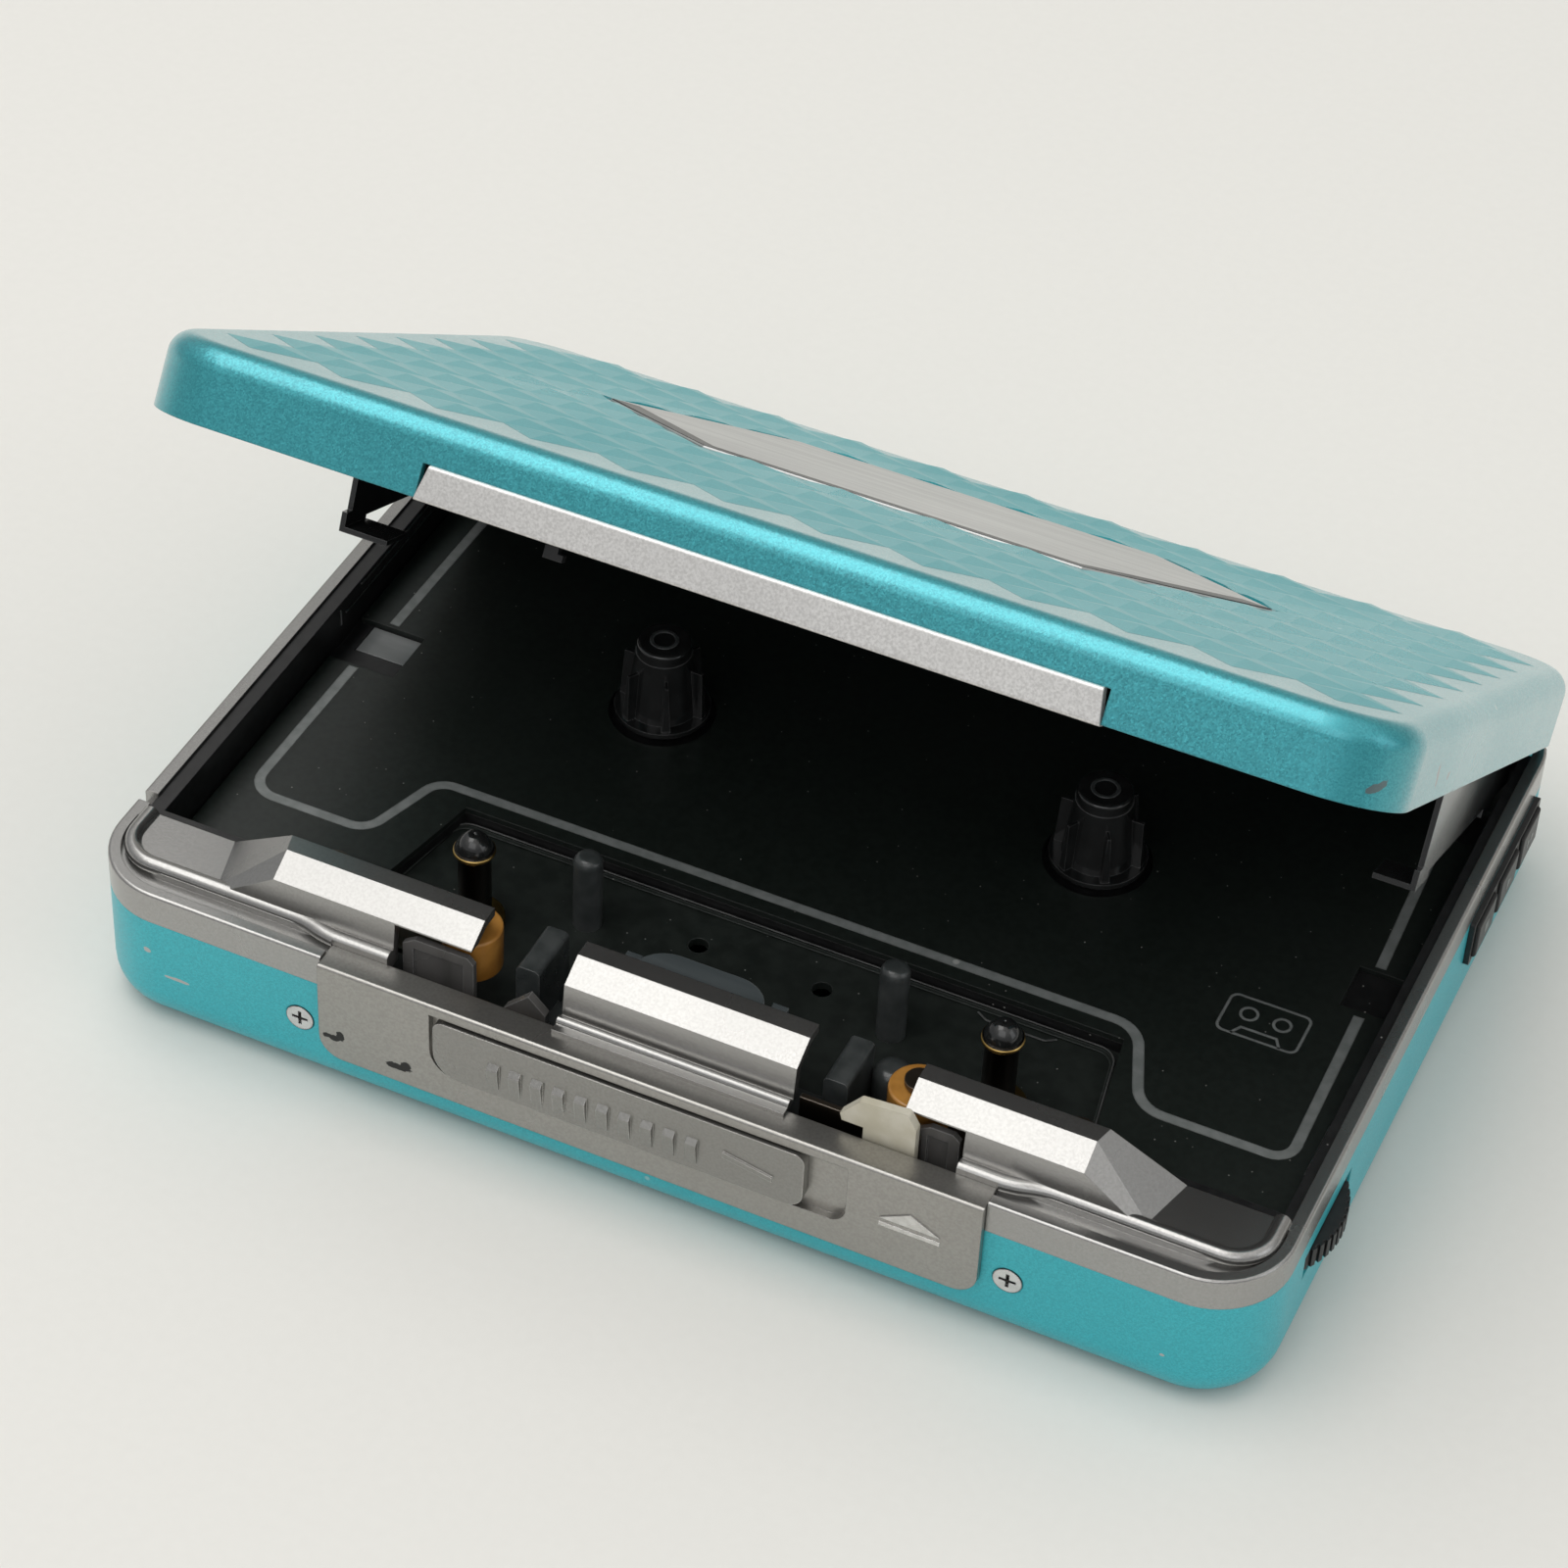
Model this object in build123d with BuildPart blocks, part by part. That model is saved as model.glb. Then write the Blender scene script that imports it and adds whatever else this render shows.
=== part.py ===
from build123d import *
import math
import os

# The tape cassette that the well is made for
cassette_width = 100.4
cassette_thickness = 8.7
cassette_front_to_reels = 35.3
reel_spacing = 42.5

# The flat rechargeable cell behind the reels
battery_length = 67.0
battery_width = 17.0
battery_height = 6.1

# Rooms round the cassette, from the outside of the case
side_room = 3.8
front_room = 10.5
back_room = 6.8
reel_to_battery = 8.4
mechanism_room = 9.0
lid_room = 2.6

# Shape of the case
corner_radius = 7.0
bezel_height = 3.2
bezel_above_deck = 4.4
recess_drop = 1.8
lid_gap = 0.25
lid_round = 2.0
bottom_round = 3.6

# Sheet and wall thicknesses
shell_wall = 0.8
lid_roof = 0.7
rim_width = 1.3
floor_wall = 1.2
deck_sheet = 0.6
steel_sheet = 0.8
thin_sheet = 0.5

# Clearances
slip = 0.05
air_gap = 0.2
free_gap = 0.3

# Outer size and levels that follow
case_width = cassette_width + 2 * side_room
case_depth = front_room + cassette_front_to_reels + reel_to_battery + battery_width + back_room
half_width = case_width / 2
half_depth = case_depth / 2
front = -half_depth
chassis_base = mechanism_room
chassis_floor = chassis_base + floor_wall
deck_top = chassis_floor + deck_sheet
recess_floor = deck_top - recess_drop
bezel_top = deck_top + bezel_above_deck
seam_height = bezel_top - bezel_height
lid_bottom = bezel_top + lid_gap
lid_top = deck_top + cassette_thickness + lid_room
lid_height = lid_top - lid_bottom

# Where the reels stand
mech_x = 0.45
reel_y = front + front_room + cassette_front_to_reels
spindle_points = ((mech_x - reel_spacing / 2, reel_y), (mech_x + reel_spacing / 2, reel_y))

# The lid's hinge line runs along X
hinge_to_back = 4.2
hinge_rise = 0.6
hinge_pin_radius = 0.5
lid_angle = 34.0
holder_angle = 24.0
hinge_y = half_depth - hinge_to_back
hinge_z = bezel_top + hinge_rise
rim_end = hinge_y - 0.6

parts = []


def finish(piece, name):
    """Label a finished piece and keep it for writing."""
    piece.part.label = name
    parts.append(piece.part)


def block(x0, x1, y0, y1, z0, z1, mode=Mode.ADD):
    """A rectangular block between two corners."""
    with Locations(((x0 + x1) / 2, (y0 + y1) / 2, (z0 + z1) / 2)):
        Box(x1 - x0, y1 - y0, z1 - z0, mode=mode)


def disc(x, y, z0, z1, radius, mode=Mode.ADD):
    """An upright cylinder on the point x, y."""
    with Locations((x, y, (z0 + z1) / 2)):
        Cylinder(radius, z1 - z0, mode=mode)


def rod(x0, x1, y, z, radius, mode=Mode.ADD):
    """A cylinder along X."""
    with Locations(Location(((x0 + x1) / 2, y, z), (0, 90, 0))):
        Cylinder(radius, x1 - x0, mode=mode)


def slab(outline, z0, z1, mode=Mode.ADD):
    """A plate with a polygon outline, from z0 up to z1."""
    with BuildSketch(Plane.XY.offset(z0)) as plan:
        Polygon(*outline, align=None)
    extrude(plan.sketch, amount=z1 - z0, mode=mode)


def side_profile(points, x0, x1, mode=Mode.ADD):
    """A bar along X whose section is drawn as (y, z) points."""
    with BuildSketch(Plane.YZ.offset(x0)) as section:
        Polygon(*points, align=None)
    extrude(section.sketch, amount=x1 - x0, mode=mode)


def front_profile(points, y0, y1, mode=Mode.ADD):
    """A plate facing the front whose outline is drawn as (x, z) points."""
    with BuildSketch(Plane.XZ.offset(-y1)) as front:
        Polygon(*points, align=None)
    extrude(front.sketch, amount=y1 - y0, mode=mode)


def gear(x, y, z0, z1, teeth, pitch_radius, bore):
    """A spur gear with slim straight-sided teeth."""
    module = 2 * pitch_radius / teeth
    root = pitch_radius - 1.2 * module
    tip = pitch_radius + 0.8 * module
    disc(x, y, z0, z1, root)
    with BuildSketch(Plane.XY.offset(z0)) as rim:
        with Locations((x, y)):
            with PolarLocations(0, teeth):
                Polygon((root - 0.2, -0.8 * module), (tip, -0.35 * module),
                        (tip, 0.35 * module), (root - 0.2, 0.8 * module), align=None)
    extrude(rim.sketch, amount=z1 - z0)
    disc(x, y, z0, z1, bore, mode=Mode.SUBTRACT)


def half_turns(x, y, z, radius, turns, length):
    """Points of a coil along X, four to a turn."""
    steps = int(turns * 4)
    points = []
    for step in range(steps + 1):
        angle = step * math.pi / 2
        points.append((x + length * step / steps,
                       y + radius * math.cos(angle), z + radius * math.sin(angle)))
    return points


def coil_spring(x, y, z, radius, wire, turns, length):
    """A round-wire coil along X, swept along one unbroken run of arcs."""
    steps = int(turns * 2)
    path = half_turns(x, y, z, radius, turns, length)
    with BuildPart() as spring:
        with BuildLine() as route:
            for step in range(steps):
                ThreePointArc(path[2 * step], path[2 * step + 1], path[2 * step + 2])
        with BuildSketch(Plane(origin=route.line @ 0, z_dir=route.line % 0)):
            Circle(wire / 2)
        sweep()
    gap = length / turns - wire
    print("coil spring: least gap between turns", round(gap, 2), "mm")
    return spring


# Painted shell
# A drawn metal tray with soft bottom edges. Its openings are cut for the front panel, the
# side controls, the volume wheel, the headphone socket and the battery door.
panel_left = -30.4
panel_right = 30.2
panel_bottom = seam_height - 7.4
panel_top = bezel_top - 0.25
panel_proud = 0.65
panel_back = front + 0.65
panel_round = 2.2
ledge_back = front + 2.1

wheel_x = half_width - 6.7
wheel_y = front + 16.2
wheel_radius = 8.1
wheel_thickness = 2.0
wheel_bottom = chassis_floor - 2.4
wheel_top = wheel_bottom + wheel_thickness
wheel_opening = 5.6

jack_y = front + 19.0
jack_z = chassis_base - 2.9
jack_bore = 1.8
jack_nose = 2.5
jack_length = 14.0

battery_x = -half_width + 2.6
battery_y = reel_y + reel_to_battery
battery_z = 1.25
door_y0 = battery_y + 0.2
door_y1 = battery_y + battery_width - 0.2
door_z0 = 1.0
door_z1 = battery_z + battery_height + 1.05
door_pin_radius = 0.35
door_pin_reach = 0.35
door_pin_x = -half_width + shell_wall / 2
door_pin_y = door_y0 + 0.4

key_count = 3
key_length = 4.9
key_pitch = 6.2
key_height = 3.6
key_y = half_depth - 23.1
key_z = seam_height - 2.5
key_proud = 0.85
key_thickness = 1.85
key_plate_proud = 0.5
key_plate_margin = 0.7

board_bottom = 1.2
board_top = 2.0

hold_x = 26.0
hold_z = seam_height - 6.0
hold_length = 5.0
hold_height = 2.6
hold_travel = 2.0

case_screw_x = 32.6
case_screw_z = seam_height - 4.85
screw_hole = 0.85
screw_head = 1.3
foot_screw_x = half_width - 8.5
foot_screw_y = half_depth - 5.1
foot_screw_y_front = front + 6.0
board_boss_radius = 1.8
board_boss_x = half_width - 14.0
board_boss_ys = (front + 12.0, battery_y - 5.2)


def tray(inset, base, height, bottom):
    """A closed body with the case's plan, drawn in by inset, with a rounded bottom edge."""
    with BuildPart() as body:
        with BuildSketch(Plane.XY.offset(base)):
            RectangleRounded(case_width - 2 * inset, case_depth - 2 * inset, corner_radius - inset)
        extrude(amount=height - base)
        fillet(body.faces().sort_by(Axis.Z)[0].edges(), bottom)
    return body.part


outer_body = tray(0, 0, seam_height, bottom_round)
inner_body = tray(shell_wall, shell_wall, seam_height + 1, bottom_round - shell_wall)

key_positions = [key_y + index * key_pitch for index in range(key_count)]

with BuildPart() as bottom_case:
    add(outer_body)
    add(inner_body, mode=Mode.SUBTRACT)
    with BuildSketch(Plane.XZ.offset(half_depth + 1)):
        with Locations(((panel_left + panel_right) / 2, (panel_bottom + seam_height + 6) / 2)):
            RectangleRounded(panel_right - panel_left, seam_height + 6 - panel_bottom, panel_round)
    extrude(amount=-4, mode=Mode.SUBTRACT)
    block(half_width - 3, half_width + 1, wheel_y - wheel_opening, wheel_y + wheel_opening,
          wheel_bottom - free_gap, wheel_top + free_gap, mode=Mode.SUBTRACT)
    for y in key_positions:
        block(half_width - 2, half_width + 1, y - key_length / 2 - air_gap, y + key_length / 2 + air_gap,
              key_z - key_height / 2 - air_gap, key_z + key_height / 2 + air_gap, mode=Mode.SUBTRACT)
    rod(-half_width - 1, -half_width + 2, jack_y, jack_z, jack_nose + 0.1, mode=Mode.SUBTRACT)
    block(-half_width - 1, -half_width + 6, door_y0 - free_gap, door_y1 + 0.1, door_z0 - 0.1,
          door_z1 + 0.1, mode=Mode.SUBTRACT)
    block(hold_x - hold_length / 2 - air_gap, hold_x + hold_length / 2 + hold_travel + air_gap,
          half_depth - 2, half_depth + 1, hold_z - hold_height / 2 - air_gap,
          hold_z + hold_height / 2 + air_gap, mode=Mode.SUBTRACT)
    for x in (-case_screw_x, case_screw_x):
        with Locations(Location((x, -half_depth, case_screw_z), (90, 0, 0))):
            CounterSinkHole(screw_hole, screw_head + 0.1, depth=3, counter_sink_angle=90)
    for x in (-foot_screw_x, foot_screw_x):
        for y in (foot_screw_y_front, foot_screw_y):
            with Locations(Location((x, y, 0), (180, 0, 0))):
                CounterSinkHole(screw_hole, screw_head + 0.1, depth=3, counter_sink_angle=90)
    # low bosses that carry the circuit board
    for x in (-board_boss_x, board_boss_x):
        for y in board_boss_ys:
            disc(x, y, shell_wall, board_bottom, board_boss_radius)
    # socket for the hinge pin of the battery door
    disc(door_pin_x, door_pin_y, door_z1, door_z1 + door_pin_reach + 0.1, door_pin_radius + slip,
         mode=Mode.SUBTRACT)
finish(bottom_case, "bottom_case")

# Battery door
# The piece of the shell that closes the end of the battery bay, curved like the wall around it. A
# pin at its front edge turns in the shell.
with BuildPart() as battery_door:
    add(outer_body)
    add(inner_body, mode=Mode.SUBTRACT)
    block(-half_width - 1, -half_width + 6, door_y0, door_y1, door_z0, door_z1, mode=Mode.INTERSECT)
    disc(door_pin_x, door_pin_y, door_z1 - 3.0, door_z1 + door_pin_reach, door_pin_radius)
finish(battery_door, "battery_door")

# Bezel frame
# The silver-grey moulding that runs round the front and sides of the well. Its corner shelves
# rise into faceted covers over the pinch rollers, and a groove and a round rib follow its edge.
shelf_back = front + 9.1
shelf_height = 1.2
cover_back = front + 7.8
cover_top = bezel_top + 4.65
cover_ridge_y = front + 6.05
cover_brow_y = front + 3.6
cover_brow_z = bezel_top + 3.25
cover_front = front + 3.2
cover_wall = 0.85
cover_left_end = -18.0
cover_right_end = 21.3
cover_outer_end = 36.8
cover_tip_x = cover_outer_end + 5.6
cover_tip_y = front + 3.8
shelf_corner_x = cover_outer_end + 7.0
notch_left = -25.2
notch_right = 26.6
notch_top = bezel_top + 3.1
rib_radius = 0.75
rib_z = bezel_top - 0.1
rib_y = front + 3.5
rib_side_x = half_width - 2.0
rib_corner = 3.3
rib_step_x = 35.0
rib_inner_y = front + 2.7
rib_inner_x = 30.0
groove_outer = 1.1
groove_width = 1.6
groove_depth = 0.7

roof_profile = [(cover_back, cover_top), (cover_ridge_y, cover_top), (cover_brow_y, cover_brow_z),
                (cover_front, bezel_top), (cover_front, bezel_top - shelf_height),
                (cover_front + cover_wall, bezel_top - shelf_height),
                (cover_front + cover_wall, bezel_top),
                (cover_brow_y + cover_wall, cover_brow_z - 0.45 * cover_wall),
                (cover_ridge_y + 0.35 * cover_wall, cover_top - cover_wall),
                (cover_back, cover_top - cover_wall)]
solid_profile = [(shelf_back, bezel_top - shelf_height), (shelf_back, bezel_top), (cover_back, cover_top),
                 (cover_ridge_y, cover_top), (cover_brow_y, cover_brow_z), (cover_front, bezel_top),
                 (cover_front, bezel_top - shelf_height)]

brow_point = Vector(cover_outer_end, cover_brow_y, cover_brow_z)
ridge_point = Vector(cover_outer_end, cover_ridge_y, cover_top)
tip_point = Vector(cover_tip_x, cover_tip_y, bezel_top)
corner_point = Vector(shelf_corner_x, shelf_back, bezel_top)

with BuildPart() as cover_wedge:
    side_profile(solid_profile, cover_outer_end - 0.9, shelf_corner_x)
    end_normal = (tip_point - ridge_point).cross(corner_point - ridge_point)
    split(bisect_by=Plane(origin=ridge_point, z_dir=end_normal),
          keep=Keep.BOTTOM if end_normal.X > 0 else Keep.TOP)
    brow_normal = (tip_point - brow_point).cross(ridge_point - brow_point)
    split(bisect_by=Plane(origin=brow_point, z_dir=brow_normal),
          keep=Keep.BOTTOM if brow_normal.Z > 0 else Keep.TOP)



def edge_rib(side, inner_x):
    """The round rib of one side, stepping forward by a slight S where it nears the panel."""
    lean = 2 * math.atan2(rib_y - rib_inner_y, rib_step_x - rib_inner_x)
    corner_start = (side * rib_side_x, rib_y + rib_corner, rib_z)
    corner_end = (side * (rib_side_x - rib_corner), rib_y, rib_z)
    step_start = (side * rib_step_x, rib_y, rib_z)
    step_middle = (side * (rib_step_x + rib_inner_x) / 2, (rib_y + rib_inner_y) / 2, rib_z)
    step_end = (side * rib_inner_x, rib_inner_y, rib_z)
    with BuildPart() as rib:
        with BuildLine() as route:
            Line((side * rib_side_x, shelf_back, rib_z), corner_start)
            TangentArc(corner_start, corner_end, tangent=(0, -1, 0))
            Line(corner_end, step_start)
            TangentArc(step_start, step_middle, tangent=(-side, 0, 0))
            TangentArc(step_middle, step_end, tangent=(-side * math.cos(lean), -math.sin(lean), 0))
            Line(step_end, (inner_x, rib_inner_y, rib_z))
        with BuildSketch(Plane(origin=route.line @ 0, z_dir=route.line % 0)):
            Circle(rib_radius)
        sweep(path=route.line)
    return rib.part


with BuildPart() as bezel_frame:
    with BuildSketch(Plane.XY.offset(seam_height)):
        RectangleRounded(case_width, case_depth, corner_radius)
        with Locations((0, (shelf_back + half_depth + 2) / 2)):
            Rectangle(case_width - 2 * rim_width, half_depth + 2 - shelf_back, mode=Mode.SUBTRACT)
        with Locations((0, (rim_end + half_depth + 2) / 2)):
            Rectangle(case_width + 2, half_depth + 2 - rim_end, mode=Mode.SUBTRACT)
    extrude(amount=bezel_top - seam_height)
    # hollow under the shelves
    with BuildSketch(Plane.XY.offset(seam_height)):
        RectangleRounded(case_width - 2 * rim_width, case_depth - 2 * rim_width, corner_radius - rim_width)
        with Locations((0, (shelf_back + half_depth + 1) / 2)):
            Rectangle(case_width, half_depth + 1 - shelf_back, mode=Mode.SUBTRACT)
    extrude(amount=bezel_top - shelf_height - seam_height, mode=Mode.SUBTRACT)
    # round the outer top edge
    fillet(bezel_frame.edges().filter_by_position(Axis.Z, bezel_top - 0.01, bezel_top + 0.01)
           .filter_by(lambda edge: abs(edge.center().Y) > half_depth - 0.1
                      or (edge.geom_type == GeomType.CIRCLE and edge.center().Y < -half_depth / 2)), 0.3)
    # groove inside the edge
    with BuildSketch(Plane.XY.offset(bezel_top - groove_depth)):
        RectangleRounded(case_width - 2 * groove_outer, case_depth - 2 * groove_outer,
                         corner_radius - groove_outer)
        RectangleRounded(case_width - 2 * (groove_outer + groove_width),
                         case_depth - 2 * (groove_outer + groove_width),
                         corner_radius - groove_outer - groove_width, mode=Mode.SUBTRACT)
        with Locations((0, (shelf_back - 0.8 + half_depth + 1) / 2)):
            Rectangle(case_width, half_depth + 1.8 - shelf_back, mode=Mode.SUBTRACT)
    extrude(amount=groove_depth + 1, mode=Mode.SUBTRACT)
    # rounded rib
    add(edge_rib(-1, notch_left))
    add(edge_rib(1, notch_right))
    # open well under the covers and between them
    block(-cover_outer_end + 0.8, cover_outer_end - 0.8, cover_front + cover_wall, shelf_back + 1,
          seam_height - 1, bezel_top + 3, mode=Mode.SUBTRACT)
    block(notch_left, notch_right, ledge_back, shelf_back + 1, seam_height - 1, bezel_top + 3,
          mode=Mode.SUBTRACT)
    # seat of the front panel
    block(panel_left - 0.05, panel_right + 0.05, -half_depth - 1, panel_back, seam_height - 1,
          bezel_top + 1, mode=Mode.SUBTRACT)
    block(panel_left - 0.05, panel_right + 0.05, panel_back - 0.1, ledge_back, panel_top - 1,
          bezel_top + 1, mode=Mode.SUBTRACT)
    # posts for the screws of the underside, lugs for the front screws
    for x in (-foot_screw_x, foot_screw_x):
        disc(x, foot_screw_y_front, shell_wall, bezel_top - shelf_height, 1.5)
        disc(x, foot_screw_y_front, 0, 7, screw_hole, mode=Mode.SUBTRACT)
    for x in (-case_screw_x, case_screw_x):
        block(x - 1.6, x + 1.6, -half_depth + shell_wall, -half_depth + 1.7, case_screw_z - 1.6,
              seam_height + 0.5)
        with Locations(Location((x, -half_depth + 1, case_screw_z), (90, 0, 0))):
            Cylinder(screw_hole, 4, mode=Mode.SUBTRACT)
    # covers over the pinch rollers
    side_profile(roof_profile, -cover_outer_end, cover_left_end)
    side_profile(roof_profile, cover_right_end, cover_outer_end)
    add(cover_wedge.part)
    add(cover_wedge.part.mirror(Plane.YZ))
    block(notch_left, cover_left_end + 1, cover_front - 2, cover_front + cover_wall + 0.6, seam_height,
          notch_top, mode=Mode.SUBTRACT)
    block(cover_right_end - 1, notch_right, cover_front - 2, cover_front + cover_wall + 0.6, seam_height,
          notch_top, mode=Mode.SUBTRACT)
    # short break in the left rim beside the shelf
    block(-half_width - 1, -half_width + rim_width + 0.1, shelf_back + 0.9, shelf_back + 2.2,
          bezel_top - 1.6, bezel_top + 1, mode=Mode.SUBTRACT)
finish(bezel_frame, "bezel_frame")

# Front panel
# A thin silver-grey plate set into the front wall, with a long pocket for the opening slider and a
# ledge on top that carries the cover of the tape head.
pocket_left = -19.8
pocket_right = 18.4
pocket_bottom = panel_bottom + 2.8
pocket_depth = 0.7
panel_front = -half_depth - panel_proud
pocket_floor = panel_front + pocket_depth
slider_travel = 3.4
slider_left = -19.3
slider_right = 14.7
slider_bottom = pocket_bottom + 0.2
slider_top = panel_top - 1.25
slider_front = panel_front - 0.3
shank_left = slider_left + 11.7
shank_width = 3.2
shank_bottom = slider_bottom + 1.6
shank_top = shank_bottom + 2.0
stud_radius = 0.7
stud_z = slider_bottom + 0.4
stud_points = ((-15.0, stud_z), (10.0, stud_z))
latch_bar_front = panel_back + air_gap
latch_bar_back = latch_bar_front + thin_sheet
panel_ledge = 1.0
pocket_top = panel_top - panel_ledge
low_corner = 2.5
end_corner = 1.6

with BuildPart() as front_panel:
    with BuildSketch(Plane.XZ.offset(-panel_front)):
        with Locations(((panel_left + panel_right) / 2, (panel_bottom + panel_top) / 2)):
            Rectangle(panel_right - panel_left, panel_top - panel_bottom)
    extrude(amount=-(panel_back - panel_front))
    fillet(front_panel.edges().filter_by(Axis.Y).sort_by(Axis.Z)[:2], panel_round)
    block(panel_left, panel_right, panel_front, ledge_back, panel_top - panel_ledge, panel_top)
    fillet(front_panel.edges().filter_by(Axis.X).filter_by_position(Axis.Z, panel_top, panel_top)
           .sort_by(Axis.Y)[:1], 0.35)
    with BuildSketch(Plane.XZ.offset(-panel_front)) as pocket:
        with Locations(((pocket_left + pocket_right) / 2, (pocket_bottom + pocket_top) / 2)):
            Rectangle(pocket_right - pocket_left, pocket_top - pocket_bottom)
        fillet(pocket.vertices().group_by(Axis.X)[-1].sort_by(Axis.Y)[:1], end_corner)
        fillet(pocket.vertices().group_by(Axis.X)[0].sort_by(Axis.Y)[:1], low_corner)
    extrude(pocket.sketch, amount=-pocket_depth, mode=Mode.SUBTRACT)
    block(shank_left - air_gap, shank_left + shank_width + slider_travel + air_gap, panel_front,
          panel_back + 1, shank_bottom - air_gap, shank_top + air_gap, mode=Mode.SUBTRACT)
    for x, z in stud_points:
        with Locations(Location((x, (panel_back + latch_bar_back + 0.3) / 2, z), (90, 0, 0))):
            Cylinder(stud_radius, latch_bar_back + 0.3 - panel_back)
finish(front_panel, "front_panel")

# Opening slider
# The ribbed slide on the front. Its shank passes through a slot in the panel.
rib_count = 10
rib_first = slider_left + 5.7
rib_pitch = 2.03
slide_rib_height = 0.45
slide_rib_width = 1.0
stroke_left = slider_right - 7.2
stroke_right = slider_right - 2.7
upper_corner = 0.9

with BuildPart() as open_slider:
    with BuildSketch(Plane.XZ.offset(-slider_front)) as slide:
        with Locations(((slider_left + slider_right) / 2, (slider_bottom + slider_top) / 2)):
            Rectangle(slider_right - slider_left, slider_top - slider_bottom)
        fillet(slide.vertices().sort_by(Axis.Y)[2:], upper_corner)
        fillet(slide.vertices().group_by(Axis.X)[-1].sort_by(Axis.Y)[:1], end_corner)
        fillet(slide.vertices().group_by(Axis.Y)[0].sort_by(Axis.X)[:1], low_corner)
    extrude(slide.sketch, amount=-(pocket_floor - slip - slider_front))
    block(shank_left, shank_left + shank_width, pocket_floor - slip - 0.1, latch_bar_front, shank_bottom,
          shank_top)
    for index in range(rib_count):
        x = rib_first + index * rib_pitch
        side_profile([(slider_front, slider_bottom + 0.8), (slider_front - 0.15, slider_bottom + 0.9),
                      (slider_front - slide_rib_height, slider_bottom + 3.2),
                      (slider_front, slider_bottom + 3.7), (slider_front + 0.2, slider_bottom + 2.4)],
                     x - slide_rib_width / 2, x + slide_rib_width / 2)
    front_profile([(stroke_left, slider_bottom + 2.9), (stroke_right, slider_bottom + 2.1),
                   (stroke_right, slider_bottom + 2.6), (stroke_left, slider_bottom + 3.5)],
                  slider_front - 0.2, slider_front + 0.1)
finish(open_slider, "open_slider")

# Latch bar
# A strip of steel behind the panel, guided by two studs, with ears bent back to carry the hooks.
hook_front = front + 2.5
hook_back = hook_front + 0.8
ramp_front = hook_back + 1.0
ramp_back = ramp_front + 0.8
bar_left = -19.0
bar_bottom = panel_bottom + 1.4
bar_top = seam_height - 0.2
ear_bottom = bar_top - 0.9
hook_left = 18.2
hook_right = hook_left + 4.6
strip_left = hook_left - 6.0
strip_top = bar_top + 4.0
ramp_left = -15.4
ramp_right = ramp_left + 3.9
hook_points = [(hook_left, bar_top), (hook_right, bar_top), (hook_right, bar_top + 5.8),
               (hook_left + 3.8, bar_top + 7.2), (hook_left - 0.45, bar_top + 6.8),
               (hook_left - 2.1, bar_top + 4.7), (hook_left - 1.9, bar_top + 4.0),
               (hook_left, bar_top + 4.0)]
ramp_points = [(ramp_left, bar_top), (ramp_left, bar_top + 0.6), (ramp_left + 2.3, bar_top + 2.9),
               (ramp_right, bar_top + 1.3), (ramp_right, bar_top)]

with BuildPart() as latch_bar:
    block(bar_left, hook_right, latch_bar_front, latch_bar_back, bar_bottom, bar_top)
    for x, z in stud_points:
        block(x - slider_travel - stud_radius - slip, x + stud_radius + slip, latch_bar_front - 1,
              latch_bar_back + 1, z - stud_radius - slip, z + stud_radius + slip, mode=Mode.SUBTRACT)
    block(hook_left, hook_right, latch_bar_front, hook_back, ear_bottom, bar_top)
    block(ramp_left, ramp_right, latch_bar_front, ramp_back, ear_bottom, bar_top)
    # upright strip behind the hook
    block(strip_left, hook_right, hook_back, hook_back + thin_sheet, ear_bottom, strip_top)
finish(latch_bar, "latch_bar")

# Latch ramp
# The smoke-grey plastic catch at the left end of the latch bar.
with BuildPart() as latch_ramp:
    front_profile(ramp_points, ramp_front, ramp_back)
finish(latch_ramp, "latch_ramp")

# Latch hook
# The ivory plastic hook that holds the lid shut.
with BuildPart() as latch_hook:
    front_profile(hook_points, hook_front, hook_back)
    fillet(latch_hook.edges().filter_by(Axis.Y).sort_by(Axis.Z)[-3:], 0.35)
finish(latch_hook, "latch_hook")

# Slider spring
# A small pull spring that draws the latch bar back to the left.
spring_length = 7.6
spring_radius = 1.0
spring_wire = 0.3
spring_turns = 9
spring_x = bar_left - spring_length
spring_y = front + 2.0
spring_z = bar_bottom + spring_radius

slider_spring = coil_spring(spring_x, spring_y, spring_z, spring_radius, spring_wire, spring_turns,
                            spring_length)
finish(slider_spring, "slider_spring")

# Head cover
# The middle one of the three faceted covers, standing on the ledge of the front panel.
head_cover_left = -9.4
head_cover_right = 11.7
head_cover_front = front + 1.3
head_bead_y = front + 2.55
head_bead_radius = 0.45
head_profile = [(y, max(z, panel_top)) for y, z in roof_profile]

with BuildPart() as head_cover:
    side_profile(head_profile, head_cover_left, head_cover_right)
    block(head_cover_left, head_cover_right, head_cover_front, cover_front + 0.2, panel_top, panel_top + 0.4)
    rod(head_cover_left, head_cover_right, head_bead_y, panel_top + 0.4, head_bead_radius)
finish(head_cover, "head_cover")

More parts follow.
